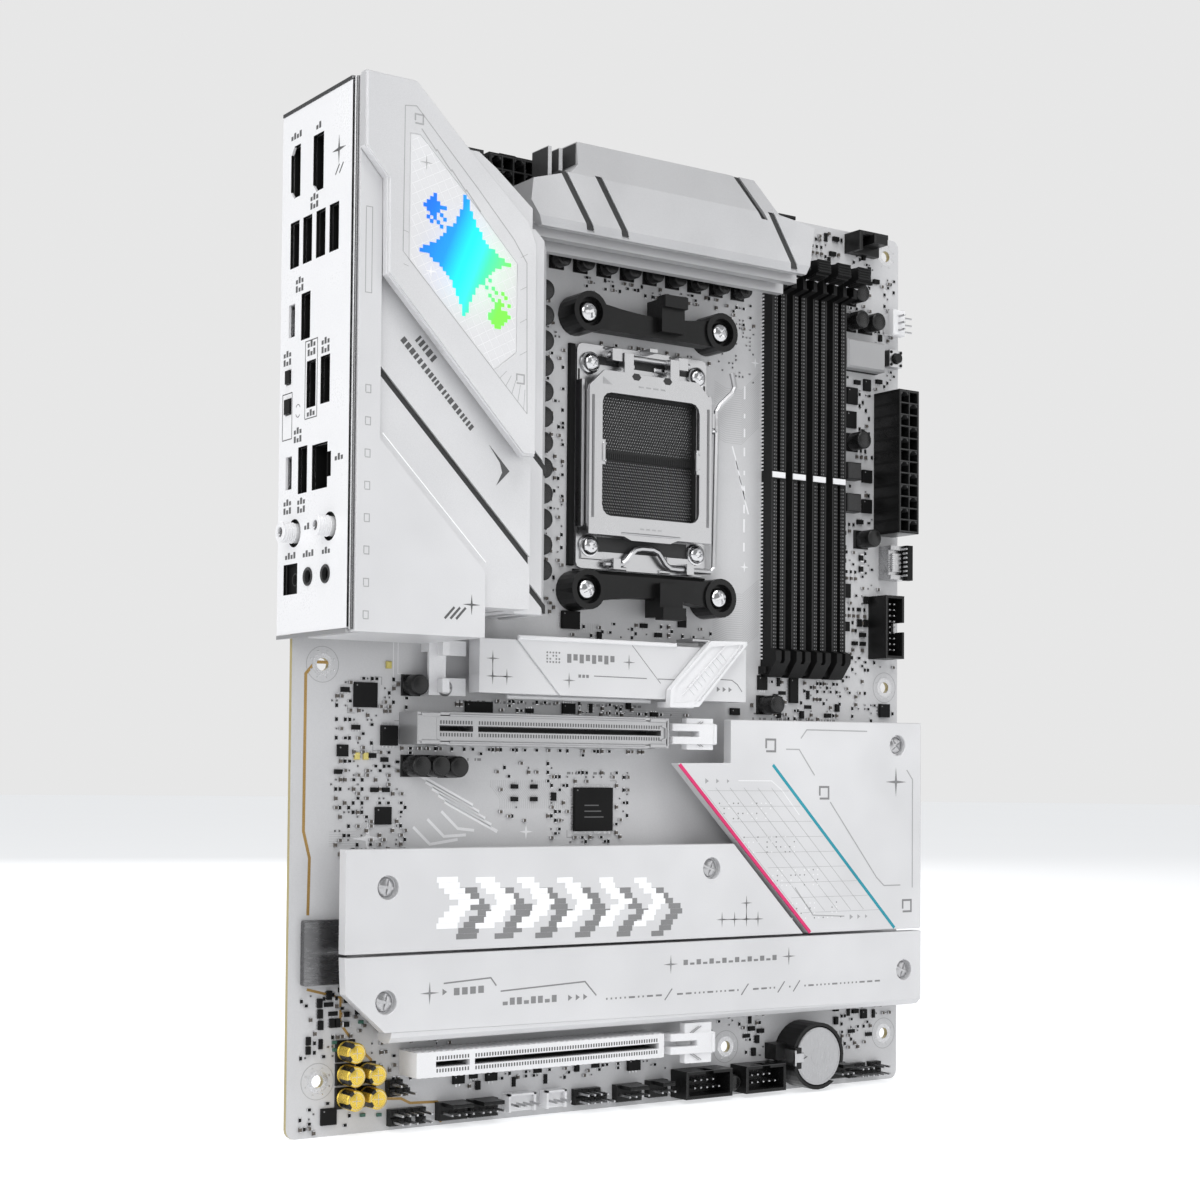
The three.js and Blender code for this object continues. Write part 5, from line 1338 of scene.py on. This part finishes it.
for start, end, level, tall in ((3, 11, 3.2, 2.4), (0, 34, -0.6, 1.9)):
    u = start
    while u < end:
        length = chance.choice((0.8, 1.1, 1.5))
        corners = [slanted(*p) for p in ((u, level), (u + length, level), (u + length, level + tall),
                                         (u, level + tall))]
        cover_print.prism(corners, *INK41)
        u += length + chance.choice((0.5, 0.7))
cover_print.prism([slanted(*p) for p in ((40.4, 1.6), (50.6, 1.6), (50.6, -4.8), (49.2, -0.6), (46.6, 0.8))],
                  *INK41)
cover_print.use(SILK_SOFT)
for k in range(8):
    z = 216.4 - 9.1 * k
    cover_print.outline(-0.1, 1.5, z - 1.1, z + 1.1, 0.26, 43.99, 44.04)
cover_print.ribbon(((-0.6, 268), (1.4, 268), (1.4, 243.6), (-0.6, 243.6), (-0.6, 267.8)), 0.22, 43.99, 44.04)
cover_print.use(SILK_DARK)
cover_print.star(35.4, 157.4, 3, 43.99, 44.05)
for k in range(3):
    cover_print.ribbon(((26.4 + 1.9 * k, 153), (29.6 + 1.9 * k, 156.4)), 0.7, 43.99, 44.05)
cover_print.use(BRIGHT_WHITE)
cover_print.ribbon(((5.4, 204.4), (40, 170)), 0.3, 43.99, 44.12)
cover_print.done()

panel_marks = Piece("panel_lines", SILK_SOFT, "silver_metal")
FACE = 47.5
THIN = (FACE - 0.01, FACE + 0.04)
panel_marks.ribbon(((9.6, 297.7), (13.3, 298.2), (33.8, 278.2), (46.5, 265.1), (51.1, 258.7), (51.6, 214.2)),
                   0.25, *THIN)
panel_marks.ribbon(((9.6, 297.7), (9.4, 256)), 0.25, *THIN)
panel_marks.ribbon(((9.4, 256), (51.6, 214.2)), 0.18, *THIN)
for k in range(4):
    panel_marks.ribbon(((15 + 5 * k, 292 - 5 * k), (20 + 5 * k, 286.4 - 5 * k)), 0.3, *THIN)
for k in range(5):
    z = 262 - 9.6 * k
    if z > 226:
        panel_marks.ribbon(((48.9, z - 2), (51.3, z - 0.6)), 0.14, *THIN)
    if z > 250:
        panel_marks.ribbon(((9.6, z), (11.2, z - 0.4)), 0.14, *THIN)
for k in range(5):
    panel_marks.ribbon(((42 + 2.1 * k, 223.6 - 2.1 * k), (44.4 + 1.6 * k, 226 - 1.2 * k)), 0.14, *THIN)
for x, z in ((14.2, 294.6), (49.2, 224.2)):
    panel_marks.outline(x - 1.3, x + 1.3, z - 1.3, z + 1.3, 0.45, *THIN, gap=0.7)
panel_marks.done()

seam = Piece("lens_seam", SILVER_METAL, "silver_metal")
LENS = ((11.6, 290), (14.8, 290), (33.8, 272), (47.6, 258), (47.6, 232), (40, 226), (11.6, 254))
seam.ribbon((*LENS, LENS[0]), 0.5, 45.8, 47.3)
seam.done()

lens_marks = Piece("lens_grid", SILK_PALE, "light_lens")
LENS_TOP = 47.4


def in_lens(x, z):
    """Whether a place lies inside the lens outline."""
    return (11.9 < x < 47.3 and 266.1 < x + z < 305.2 and z < 289.6
            and z - 226.4 > 0.7 * max(0, x - 40))


for k in range(30):
    for family in (0, 1):
        run = []
        for step in range(0, 101):
            if family:
                x, z = 11 + 0.37 * step, 300 - 3.1 * k + 0.2 * step
            else:
                x, z = 9 + 2.9 * k, 292 - 0.66 * step
                x = x - 26 + 0.37 * step
            if in_lens(x, z):
                run.append((x, z))
            elif len(run) > 3:
                lens_marks.ribbon((run[0], run[-1]), 0.12, LENS_TOP - 0.01, LENS_TOP + 0.02)
                run = []
            else:
                run = []
        if len(run) > 3:
            lens_marks.ribbon((run[0], run[-1]), 0.12, LENS_TOP - 0.01, LENS_TOP + 0.02)
lens_marks.star(29.6, 273, 2.6, LENS_TOP, LENS_TOP + 0.04, 0.12)
lens_marks.star(18.6, 251.6, 2.2, LENS_TOP, LENS_TOP + 0.04, 0.16)
lens_marks.use(SILK_SOFT)
lens_marks.star(16.8, 282.6, 2.2, LENS_TOP, LENS_TOP + 0.04, 0.12)
lens_marks.done()

BLUE_TO_GREEN = ((0.0, (0.0, 0.12, 0.9)), (0.3, (0.0, 0.22, 0.95)), (0.52, (0.0, 0.62, 0.85)),
                 (0.74, (0.04, 0.85, 0.3)), (1.0, (0.14, 0.9, 0.05)))
COLOUR_RUN = ((15, 262), (44, 250), BLUE_TO_GREEN)
GLOW = glow_look("light_gradient", COLOUR_RUN, 0.62)
add_halo(LENS_FILM, COLOUR_RUN, (32, 47.4, 256), 21, 0.3)
pixels = Piece("light_pixels", GLOW, "light_lens")
PIXEL = 1.1
SPARKLES = ((30, 257.6, 17.4, 20.6), (41.2, 241.4, 5.2, 6.4), (19.4, 270.6, 4.6, 5.6))
for row in range(40):
    for column in range(32):
        x, z = 12.6 + PIXEL * column, 282 - PIXEL * row
        lit = any((abs(x + 0.5 - cx) / rx) ** 0.62 + (abs(z - 0.5 - cz) / rz) ** 0.62 < 1
                  for cx, cz, rx, rz in SPARKLES)
        trail = abs(x + z - 287.8) < 3.6 and 16 < x < 45 and (row * 5 + column * 3) % 7 < 2
        if (lit or trail) and in_lens(x, z) and in_lens(x + PIXEL, z - PIXEL):
            pixels.box(x, x + PIXEL * 0.995, LENS_TOP, LENS_TOP + 0.1, z - PIXEL * 0.995, z)
pixels.done()

# ---- rear panel
rear = Piece("rear_panel_marks", SILK_DARK, "shield_paint")
rear.onto(on_shield)
LIFT = (0.0, 0.04)


def label(u, v, strokes, rows=1):
    """Short rows of plain strokes in place of words, centred on a spot."""
    for row in range(rows):
        for k in range(strokes):
            place = u + (k - (strokes - 1) / 2) * 1.8
            low_v = v - 2.5 * row
            rear.box(place - 0.62, place + 0.62, *LIFT, low_v, low_v + (1.9 if (k + row) % 2 else 1.2))


for u, v, strokes, rows in ((5.9, 296.2, 4, 1), (20.2, 295.6, 2, 1), (18, 275.2, 3, 2), (9.2, 252.4, 3, 2),
                            (1.8, 231.6, 3, 2), (17.4, 232.2, 3, 2), (26.2, 231.6, 3, 2), (9.2, 207.8, 3, 2),
                            (3, 187.2, 3, 2), (12, 186.8, 3, 2), (5.4, 171.2, 4, 1), (16.9, 171, 4, 1),
                            (28, 171, 3, 1), (35.2, 197, 3, 1), (17.6, 179, 4, 1), (17.4, 212, 3, 1)):
    label(u, v, strokes, rows)
rear.star(33, 286.4, 4.2, *LIFT, 0.16)
for k in range(2):
    rear.ribbon(((31 + 2.4 * k, 279.4), (33.4 + 2.4 * k, 282)), 0.5, *LIFT)
rear.outline(13.6, 21.2, 211.4, 234.2, 0.3, *LIFT)
rear.outline(-0.9, 5.3, 206.9, 220.6, 0.3, *LIFT)
for first in (0.5, 3.64):
    arc = [first + 0.33 * k for k in range(7)]
    rear.ribbon([(9.2 + 1.5 * math.cos(a), 214.6 + 1.9 * math.sin(a)) for a in arc], 0.22, *LIFT)
rear.done()

rim = Piece("rear_panel_rim", DARK_STEEL, "armour_steel")
rim.onto(at)
rim.tapered(-3.9, -2.7, -2.8, 41.1, 304.5, 305.5, 0.2)
rim.use(PALE_STEEL)
rim.tapered(-3.9, -2.9, -2.8, 41.1, 147.8, 148.9, 0.2)
rim.use(STEEL)
rim.rod(((-3.0, 41.7, 148.6), (-3.0, 41.7, 305)), 0.42, 10)
rim.use(DARK_STEEL)
rim.rod(((-2.9, 42.7, 148.6), (-2.9, 42.7, 305)), 0.36, 10)
rim.use(DEEP_BLACK)
rim.rod(((-3.5, 41.1, 149.4), (-3.5, 41.1, 304.2)), 0.22, 8)
rim.done()

fittings = Piece("port_fittings", DEEP_BLACK, "black_plastic")
usb_places = [(h, 264.5) for h in (5.7, 13.9, 22.3, 30.6)] + [(13.4, 242), (17.4, 221.4), (26.2, 221.4),
                                                              (12.6, 196.8)]
for h, z in usb_places:
    fittings.use(DEEP_BLACK)
    fittings.box(-1.55, 9, h - 0.92, h + 0.92, z - 5.1, z + 5.1)
    fittings.use(GOLD)
    for k in range(4):
        dz = -3.6 + 2.4 * k
        fittings.box(-1.4, 7, h - 1.0, h - 0.9, z + dz - 0.45, z + dz + 0.45)


def shade_lining(h0, h1, z0, z1, depth, finish=DEEP_BLACK):
    """Painted shade: dark walls a hair inside a mouth and the hole in front of it, and a dark end wall, where
    a port's recess falls into shade.
    """
    fittings.use(finish)
    for x0, x1, out, inside in ((-3.69, -2.92, 0.29, 0.12), (-2.58, depth - 2.7, -0.01, -0.1)):
        fittings.box(x0, x1, h0 - out, h0 - inside, z0 - out, z1 + out)
        fittings.box(x0, x1, h1 + inside, h1 + out, z0 - out, z1 + out)
        fittings.box(x0, x1, h0 - inside, h1 + inside, z0 - out, z0 - inside)
        fittings.box(x0, x1, h0 - inside, h1 + inside, z1 + inside, z1 + out)
    fittings.box(depth - 2.9, depth - 2.7, h0 + 0.1, h1 - 0.1, z0 + 0.1, z1 - 0.1)


for h, z in usb_places:
    shade_lining(h - 2.6, h + 2.6, z - 6.6, z + 6.6, 12)
for mouth in ((2.9, 8.5, 278.8, 293.8), (17.3, 23.3, 277.6, 293.8)):
    shade_lining(*mouth, 9)
shade_lining(18.9, 28.2, 190.3, 202.9, 13)
shade_lining(28.2, 30.1, 193.3, 199.9, 13)
shade_lining(1.3, 9.9, 160.9, 169.5, 0.9)
for h, z in ((4.4, 242), (3.6, 196.8)):
    fittings.use(PORT_STEEL)
    fittings.box(-2.5, 5, h - 1.68, h - 1.5, z - 3.6, z + 3.6)
    fittings.use(CONTACT)
    for k in range(10):
        fittings.box(-1.4, 3, h + 0.4, h + 0.46, z - 2.8 + 0.6 * k, z - 2.5 + 0.6 * k)
for u0, u1, z0, z1 in ((2.9, 8.5, 278.8, 293.8), (17.3, 23.3, 277.6, 293.8)):
    fittings.use(SHIELD_PAINT)
    corners = ((z1 + 0.3, -1), (z0 - 0.3, 1)) if u0 < 10 else ((z0 - 0.3, 1),)
    for z, way in corners:
        fittings.loft([((x, u0 - 0.3, z), (x, u0 + 1.9, z), (x, u0 - 0.3, z + 2.4 * way)) for x in (-3.7,
                                                                                                    -2.95)])
fittings.use(CONTACT)
for k in range(9):
    fittings.box(-1.4, 4, 6.45, 6.55, 280.6 + 1.3 * k, 281.2 + 1.3 * k)
fittings.use(GOLD)
for k in range(8):
    z = 192.6 + 1.02 * k
    fittings.rod(((8.6, 19.4, z), (2.4, 19.6, z), (6.8, 22.4, z)), 0.14, 6)
fittings.use(DEEP_BLACK)
fittings.box(9.8, 10.3, 19, 28, 190.4, 202.8)
fittings.use(JADE)
fittings.tapered(-2.58, -1.8, 29.2, 30.7, 190, 192.2, 0.1)
fittings.use(YELLOW)
fittings.tapered(-2.58, -1.8, 29.2, 30.7, 201, 203.2, 0.1)
fittings.done()


def along_x(cx, ch, cz):
    """Turned shapes that lie along the ports' line: their height runs out of the rear panel."""
    return lambda u, lift, v: at(cx - lift, ch + u, cz + v)


aerials = Piece("antenna_fittings", GOLD, "antenna_metal")
jacks = Piece("audio_fittings", EDGE_AND_SHADE_GREY, "black_plastic")
for h in (7.7, 29.9):
    aerials.onto(along_x(0, h, 178.65))
    aerials.use(WHITE_PLASTIC)
    aerials.turned(0, 0, ((1.62, 8.0), (2.95, 8.0), (3.05, 8.18), (2.9, 8.36), (1.62, 8.36)), 28, loop=True)
    for k in range(5):
        aerials.turned(0, 0, ((2.88, 4.3 + 0.7 * k), (3.12, 4.45 + 0.7 * k), (2.88, 4.6 + 0.7 * k)), 28,
                       loop=True)
    aerials.use(PORT_STEEL)
    aerials.turned(0, 0, ((1.05, 3.0), (1.5, 3.0), (1.5, 8.1), (1.3, 8.1), (1.05, 7.6)), 20, loop=True)
    aerials.use(GOLD)
    aerials.turned(0, 0, ((0.3, 2.8), (0.3, 6.6), (0.12, 7.2)), 10)
    aerials.use(DEEP_BLACK)
    aerials.turned(0, 0, ((3.0, 2.65), (4.18, 2.65), (4.18, 3.68), (4.06, 3.68), (4.06, 2.8), (3.0, 2.8)), 28,
                   loop=True)
for h in (17, 27.9):
    jacks.onto(along_x(0, h, 165.2))
    jacks.use(EDGE_AND_SHADE_GREY)
    jacks.turned(0, 0, ((1.84, 1.6), (2.7, 1.6), (2.75, 4.0), (2.5, 4.2), (1.95, 3.9)), 28, loop=True)
    jacks.use(DEEP_BLACK)
    jacks.turned(0, 0, ((1.2, -6), (1.84, -6), (1.84, 1.8), (1.6, 1.8)), 20, loop=True)
    jacks.use(CONTACT)
    jacks.turned(0, 0, ((1.5, -2), (1.7, -2), (1.7, -1.2), (1.5, -1.2)), 20, loop=True)
aerials.done()
jacks.done()
shutter_ring = Piece("optical_shutter_ring", EDGE_AND_SHADE_GREY, "black_plastic", "optical_shutter")
shutter_ring.onto(along_x(0, 5.4, 165.2))
shutter_ring.turned(0, 0, ((1.6, 1.8), (1.95, 1.8), (1.95, 2.02), (1.6, 2.02)), 24, loop=True)
shutter_ring.box(-0.3, 0.3, 1.8, 2.0, -1.2, 1.2)
shutter_ring.done()

# ---- solder side
joints = Piece("solder_joints", SOLDER, "bright_steel")
joints.onto(behind)


def joint(x, z, radius=0.75, height=0.9, sides=8):
    joints.turned(x, z, ((radius, 0), (radius * 0.7, height * 0.3), (radius * 0.42, height * 0.75),
                         (radius * 0.2, height)),
                  sides)


def joint_grid(x0, z0, columns, rows, dx=PIN_PITCH, dz=PIN_PITCH, radius=0.75):
    for i in range(columns):
        for j in range(rows):
            joint(x0 + dx * i, z0 + dz * j, radius)


for x in MEMORY_X:
    joint_grid(x - 1.9, 150, 2, 62, 3.8, 2.0, 0.5)
    for z in (145.6, 213, 285.4):
        joint(x, z, 1.0, 0.6)
for z in CARD_SLOT_Z:
    joint_grid(45, z - 2.4, 42, 2, 2.0, 4.8, 0.5)
    for x in (38.6, 57.2, 131):
        joint(x, z, 1.1, 0.6)
for row in ((234.7, 198.5, 2, 12, 4.2, 4.2, 1.15), (41.5, 294.9, 4, 2, 4.2, 4.2, 1.15),
            (61.5, 294.9, 4, 2, 4.2, 4.2, 1.15)):
    joint_grid(*row)
for x, z in (*VRM_COLUMN, *TALL_CANS, *AUDIO_CANS):
    joint(x - 1.3, z, 0.8)
    joint(x + 1.3, z, 0.8)
for z0, count in ((278, 8), (258, 7), (236, 6), (215, 7), (190, 6)):
    joint_grid(5, z0, 5, count, 2.6, 2.0, 0.55)
    joint(3.6, z0 - 1.2, 1.5, 0.7)
    joint(15.6, z0 + 15, 1.5, 0.7)
joint_grid(3, 161, 4, 4, 3.1, 2.7, 0.8)
joint_grid(35, 2.6, 5, 2)
joint_grid(34.4, 11.6, 3, 2)
for x0, pins in ((52, 4), (63.2, 4), (76.4, 4), (90.6, 3), (119, 4), (132.2, 3), (210.6, 3)):
    joint_grid(x0, 4, pins, 1)
for row in ((103, 3.4, 5, 2), (146.4, 4.8, 5, 2), (170.8, 4.8, 5, 2), (220.6, 3.2, 6, 2)):
    joint_grid(*row)
joint_grid(233, 154.2, 2, 9, 2.1, 2.05, 0.6)
joint_grid(219, 299, 4, 1)
joint_grid(179.7, 300, 4, 1)
for x, z in ((183.6, 14.2), (211.4, 14.2), COIN_CELL, (236.4, 258), (242.6, 258), (236.4, 263),
             (242.6, 263)):
    joint(x, z, 1.0, 0.7)
for i in range(8):
    joint(216 + 2 * i, 256, 0.9)
joints.done()

back_parts = Piece("back_surface_parts", CHIP, "socket_resin")
back_parts.onto(behind)


def back_part(x, z, length, width, tall, ends):
    back_parts.use(CHIP if not ends or chance.random() < 0.5 else CERAMIC)
    back_parts.tapered(x, x + length, 0, tall, z, z + width, 0.08)
    if ends:
        back_parts.use(SOLDER)
        back_parts.box(x - 0.3, x + 0.1, 0, tall * 0.9, z, z + width)
        back_parts.box(x + length - 0.1, x + length + 0.3, 0, tall * 0.9, z, z + width)


BACK_FIELDS = ((100, 156, 268, 286, 46), (60, 84, 176, 262, 70), (160, 176, 170, 262, 40),
               (206, 226, 150, 280, 26),
               (70, 130, 84, 112, 70), (140, 220, 60, 112, 60), (20, 120, 36, 76, 40), (24, 60, 130, 180, 24))
back_spots = []
for x0, x1, z0, z1, count in BACK_FIELDS:
    for _ in range(count):
        x = round(chance.uniform(x0, x1) / 1.6) * 1.6
        z = round(chance.uniform(z0, z1) / 1.8) * 1.8
        near_slot = any(abs(x - slot_x) < 4.2 for slot_x in MEMORY_X) and z > 142
        near_can = abs(x - 84.2) < 4
        if near_slot or near_can or x > 227:
            continue
        if all(abs(x - a) > 2.4 or abs(z - b) > 1.8 for a, b in back_spots):
            back_spots.append((x, z))
            back_part(x, z, 1.2, 0.8, 0.5, True)
for x, z, w, d in ((64, 236, 5, 5), (64, 214, 5, 5), (64, 192, 5, 5), (112, 278, 6, 5), (134, 278, 6, 5),
                   (150, 94, 7, 7), (58, 60, 5, 4), (206, 120, 4, 4), (90, 132, 6, 4)):
    back_part(x, z, w, d, 0.9, False)
back_parts.done()

back_print = Piece("back_print", SILK_GREY, "laminate")
back_print.onto(behind)
PRINT = (0, 0.03)
for x in MEMORY_X:
    back_print.outline(x - 3.2, x + 3.2, 144, 287.6, 0.18, *PRINT)
for z in CARD_SLOT_Z:
    back_print.outline(37, 131.6, z - 3.8, z + 3.8, 0.18, *PRINT)
back_print.outline(232, 241.6, 195.8, 247.4, 0.18, *PRINT)
for x0, x1, z0, z1 in ((0.6, 18, 275.6, 296.2), (0.6, 18, 256, 273), (0.6, 18, 233.6, 250.2),
                       (0.6, 18, 213, 229.8),
                       (0.6, 20, 188.4, 205.2), (0.6, 14, 159.4, 171), (186, 210, 0.8, 24), (38.8, 56.8,
                                                                                             292.2, 301.8),
                       (58.8, 76.8, 292.2, 301.8), (141.8, 161.2, 1.4, 10.6), (167.2, 184.6, 1.4, 10.6)):
    back_print.outline(x0, x1, z0, z1, 0.18, *PRINT)
for x, z in mounting_holes:
    back_print.ring(x, z, 5.6, 5.8, *PRINT, 36)
for k in range(7):
    back_print.arrow(150 + 4 * k, 140, 2.2, *PRINT)
back_print.use(ROUTE)
for k in range(26):
    z = 152 + 2.2 * k
    back_print.ribbon(((178.6, z), (170, z), (164, z + 5), (161.6, z + 5)), 0.3, *PRINT)
for k in range(24):
    x = 60 + 2.4 * k
    back_print.ribbon(((x, 117), (x, 108), (x + 6, 100), (x + 6, 84)), 0.28, *PRINT)
for k in range(12):
    back_print.ribbon(((22, 186 + 8 * k), (40, 186 + 8 * k), (46, 190 + 8 * k), (58, 190 + 8 * k)), 0.4,
                      *PRINT)
back_print.use(CONTACT)
for x, z in mounting_holes:
    back_print.ring(x, z, 2.05, 4.3, 0.1, 0.13, 28)
back_print.use(SILK_PALE)
back_print.outline(120, 160, 60, 76, 0.6, *PRINT)
for k in range(18):
    back_print.box(123 + 1.9 * k, 123 + 1.9 * k + (0.5 if k % 3 else 1.1), *PRINT, 64, 72)
back_print.done()

plate_back = Piece("backplate_screws", CHROME, "bright_steel")
plate_back.onto(lambda u, lift, v: at(u, -3.9 - lift, v))
for dx, dz in SOCKET_SCREWS:
    plate_back.turned(SOCKET[0] + dx, SOCKET[1] + dz, ((1.7, -1.2), (1.65, -0.3), (1.2, -0.1)), 16)
for dx, dz in ((-27, 45), (27, 45), (-27, -45), (27, -45)):
    plate_back.turned(SOCKET[0] + dx, SOCKET[1] + dz, ((1.75, -0.6), (2.7, -0.6), (2.8, 0.02), (1.85, 0.06)),
                      20, loop=True)
    plate_back.use(DEEP_BLACK)
    plate_back.turned(SOCKET[0] + dx, SOCKET[1] + dz, ((1.7, -3), (1.7, -1.2)), 16)
    plate_back.use(CHROME)
plate_back.use(DARK_STEEL)
for z in (SOCKET[1] - 20, SOCKET[1] + 20):
    plate_back.tapered(SOCKET[0] - 16, SOCKET[0] + 16, -0.1, 0.05, z - 2, z + 2, 0.05)
plate_back.use(RESIN)
plate_back.outline(98, 157, 165, 261.4, 0.9, -2.3, 0.04)
plate_back.done()

under = Piece("slot_undersides", SLOT_BLACK, "black_plastic")
under.tapered(178.6, 215, 0, 3.6, 143.9, 146.6, 0.3)
for x in MEMORY_X:
    under.loft([((x - 3.1, 0.1, z), (x + 3.1, 0.1, z), (x + 3.1, top, z), (x - 3.1, top, z))
                for z, top in ((143.6, 4.4), (142.9, 3.8))])
under.done()

# ---- floor, light and camera
floor_mesh = bmesh.new()
bmesh.ops.create_circle(floor_mesh, cap_ends=True, segments=96, radius=9)
floor_data = bpy.data.meshes.new("floor")
floor_mesh.to_mesh(floor_data)
floor_mesh.free()
floor = bpy.data.objects.new("floor", floor_data)
bpy.context.scene.collection.objects.link(floor)
floor.location = (0.1, 0, cad_box[0].z)
FLOOR = look("pale_floor", *pair(0.5, 0.01), 0.8, grain=4, bump=0.02, cloud=400)
FLOOR.node_tree.nodes["Principled BSDF"].inputs["Emission Color"].default_value = (0.97, 0.985, 1, 1)
FLOOR.node_tree.nodes["Principled BSDF"].inputs["Emission Strength"].default_value = 0.64
floor_data.materials.append(FLOOR)

world = bpy.data.worlds.new("studio")
bpy.context.scene.world = world
world.use_nodes = True
tree = world.node_tree
soft = tree.nodes["Background"]
soft.inputs["Color"].default_value = (0.97, 0.985, 1, 1)
soft.inputs["Strength"].default_value = 0.34
backdrop = tree.nodes.new("ShaderNodeBackground")
backdrop.inputs["Strength"].default_value = 1.0
seen = tree.nodes.new("ShaderNodeLightPath")
choose = tree.nodes.new("ShaderNodeMixShader")
tree.links.new(seen.outputs["Is Camera Ray"], choose.inputs["Fac"])
tree.links.new(soft.outputs[0], choose.inputs[1])
tree.links.new(backdrop.outputs[0], choose.inputs[2])
tree.links.new(choose.outputs[0], tree.nodes["World Output"].inputs["Surface"])

TARGET = Vector((0.11, -0.01, 0.14))


def softbox(name, place, width, height, power):
    light = bpy.data.lights.new(name, "AREA")
    light.shape = "RECTANGLE"
    light.size = width
    light.size_y = height
    light.energy = power
    lamp = bpy.data.objects.new(name, light)
    bpy.context.scene.collection.objects.link(lamp)
    lamp.location = place
    lamp.rotation_euler = (TARGET - Vector(place)).to_track_quat("-Z", "Y").to_euler()


softbox("top_light", (-0.1, -0.7, 1.55), 1.2, 0.9, 14)
softbox("key_light", (-1.1, -1.1, 0.9), 1.0, 1.0, 8)
softbox("side_light", (-1.5, 0.1, 0.5), 0.9, 1.4, 8.5)
softbox("fill_light", (1.2, -1.2, 0.35), 1.1, 1.3, 4.2)
softbox("back_light", (0.6, 1.5, 0.9), 1.4, 1.2, 12)

AZIMUTH, ELEVATION, ROLL = (math.radians(a) for a in (-34.384, -2.05, 0.476))
back_way = Vector((math.sin(AZIMUTH) * math.cos(ELEVATION), -math.cos(AZIMUTH) * math.cos(ELEVATION),
                   math.sin(ELEVATION)))
right = (-back_way).cross(Vector((0, 0, 1))).normalized()
upward = right.cross(-back_way)
turned_right = right * math.cos(ROLL) + upward * math.sin(ROLL)
turned_up = upward * math.cos(ROLL) - right * math.sin(ROLL)
camera_data = bpy.data.cameras.new("camera")
camera_data.sensor_width = 36
camera_data.lens = 61.67
camera_data.shift_x = 0.019
camera_data.shift_y = 0.085
camera = bpy.data.objects.new("camera", camera_data)
bpy.context.scene.collection.objects.link(camera)
axes = Matrix((turned_right, turned_up, back_way)).transposed().to_4x4()
camera.matrix_world = Matrix.Translation((-0.28461, -0.5529, 0.09172)) @ axes
bpy.context.scene.camera = camera
bpy.context.scene.view_settings.view_transform = "Standard"
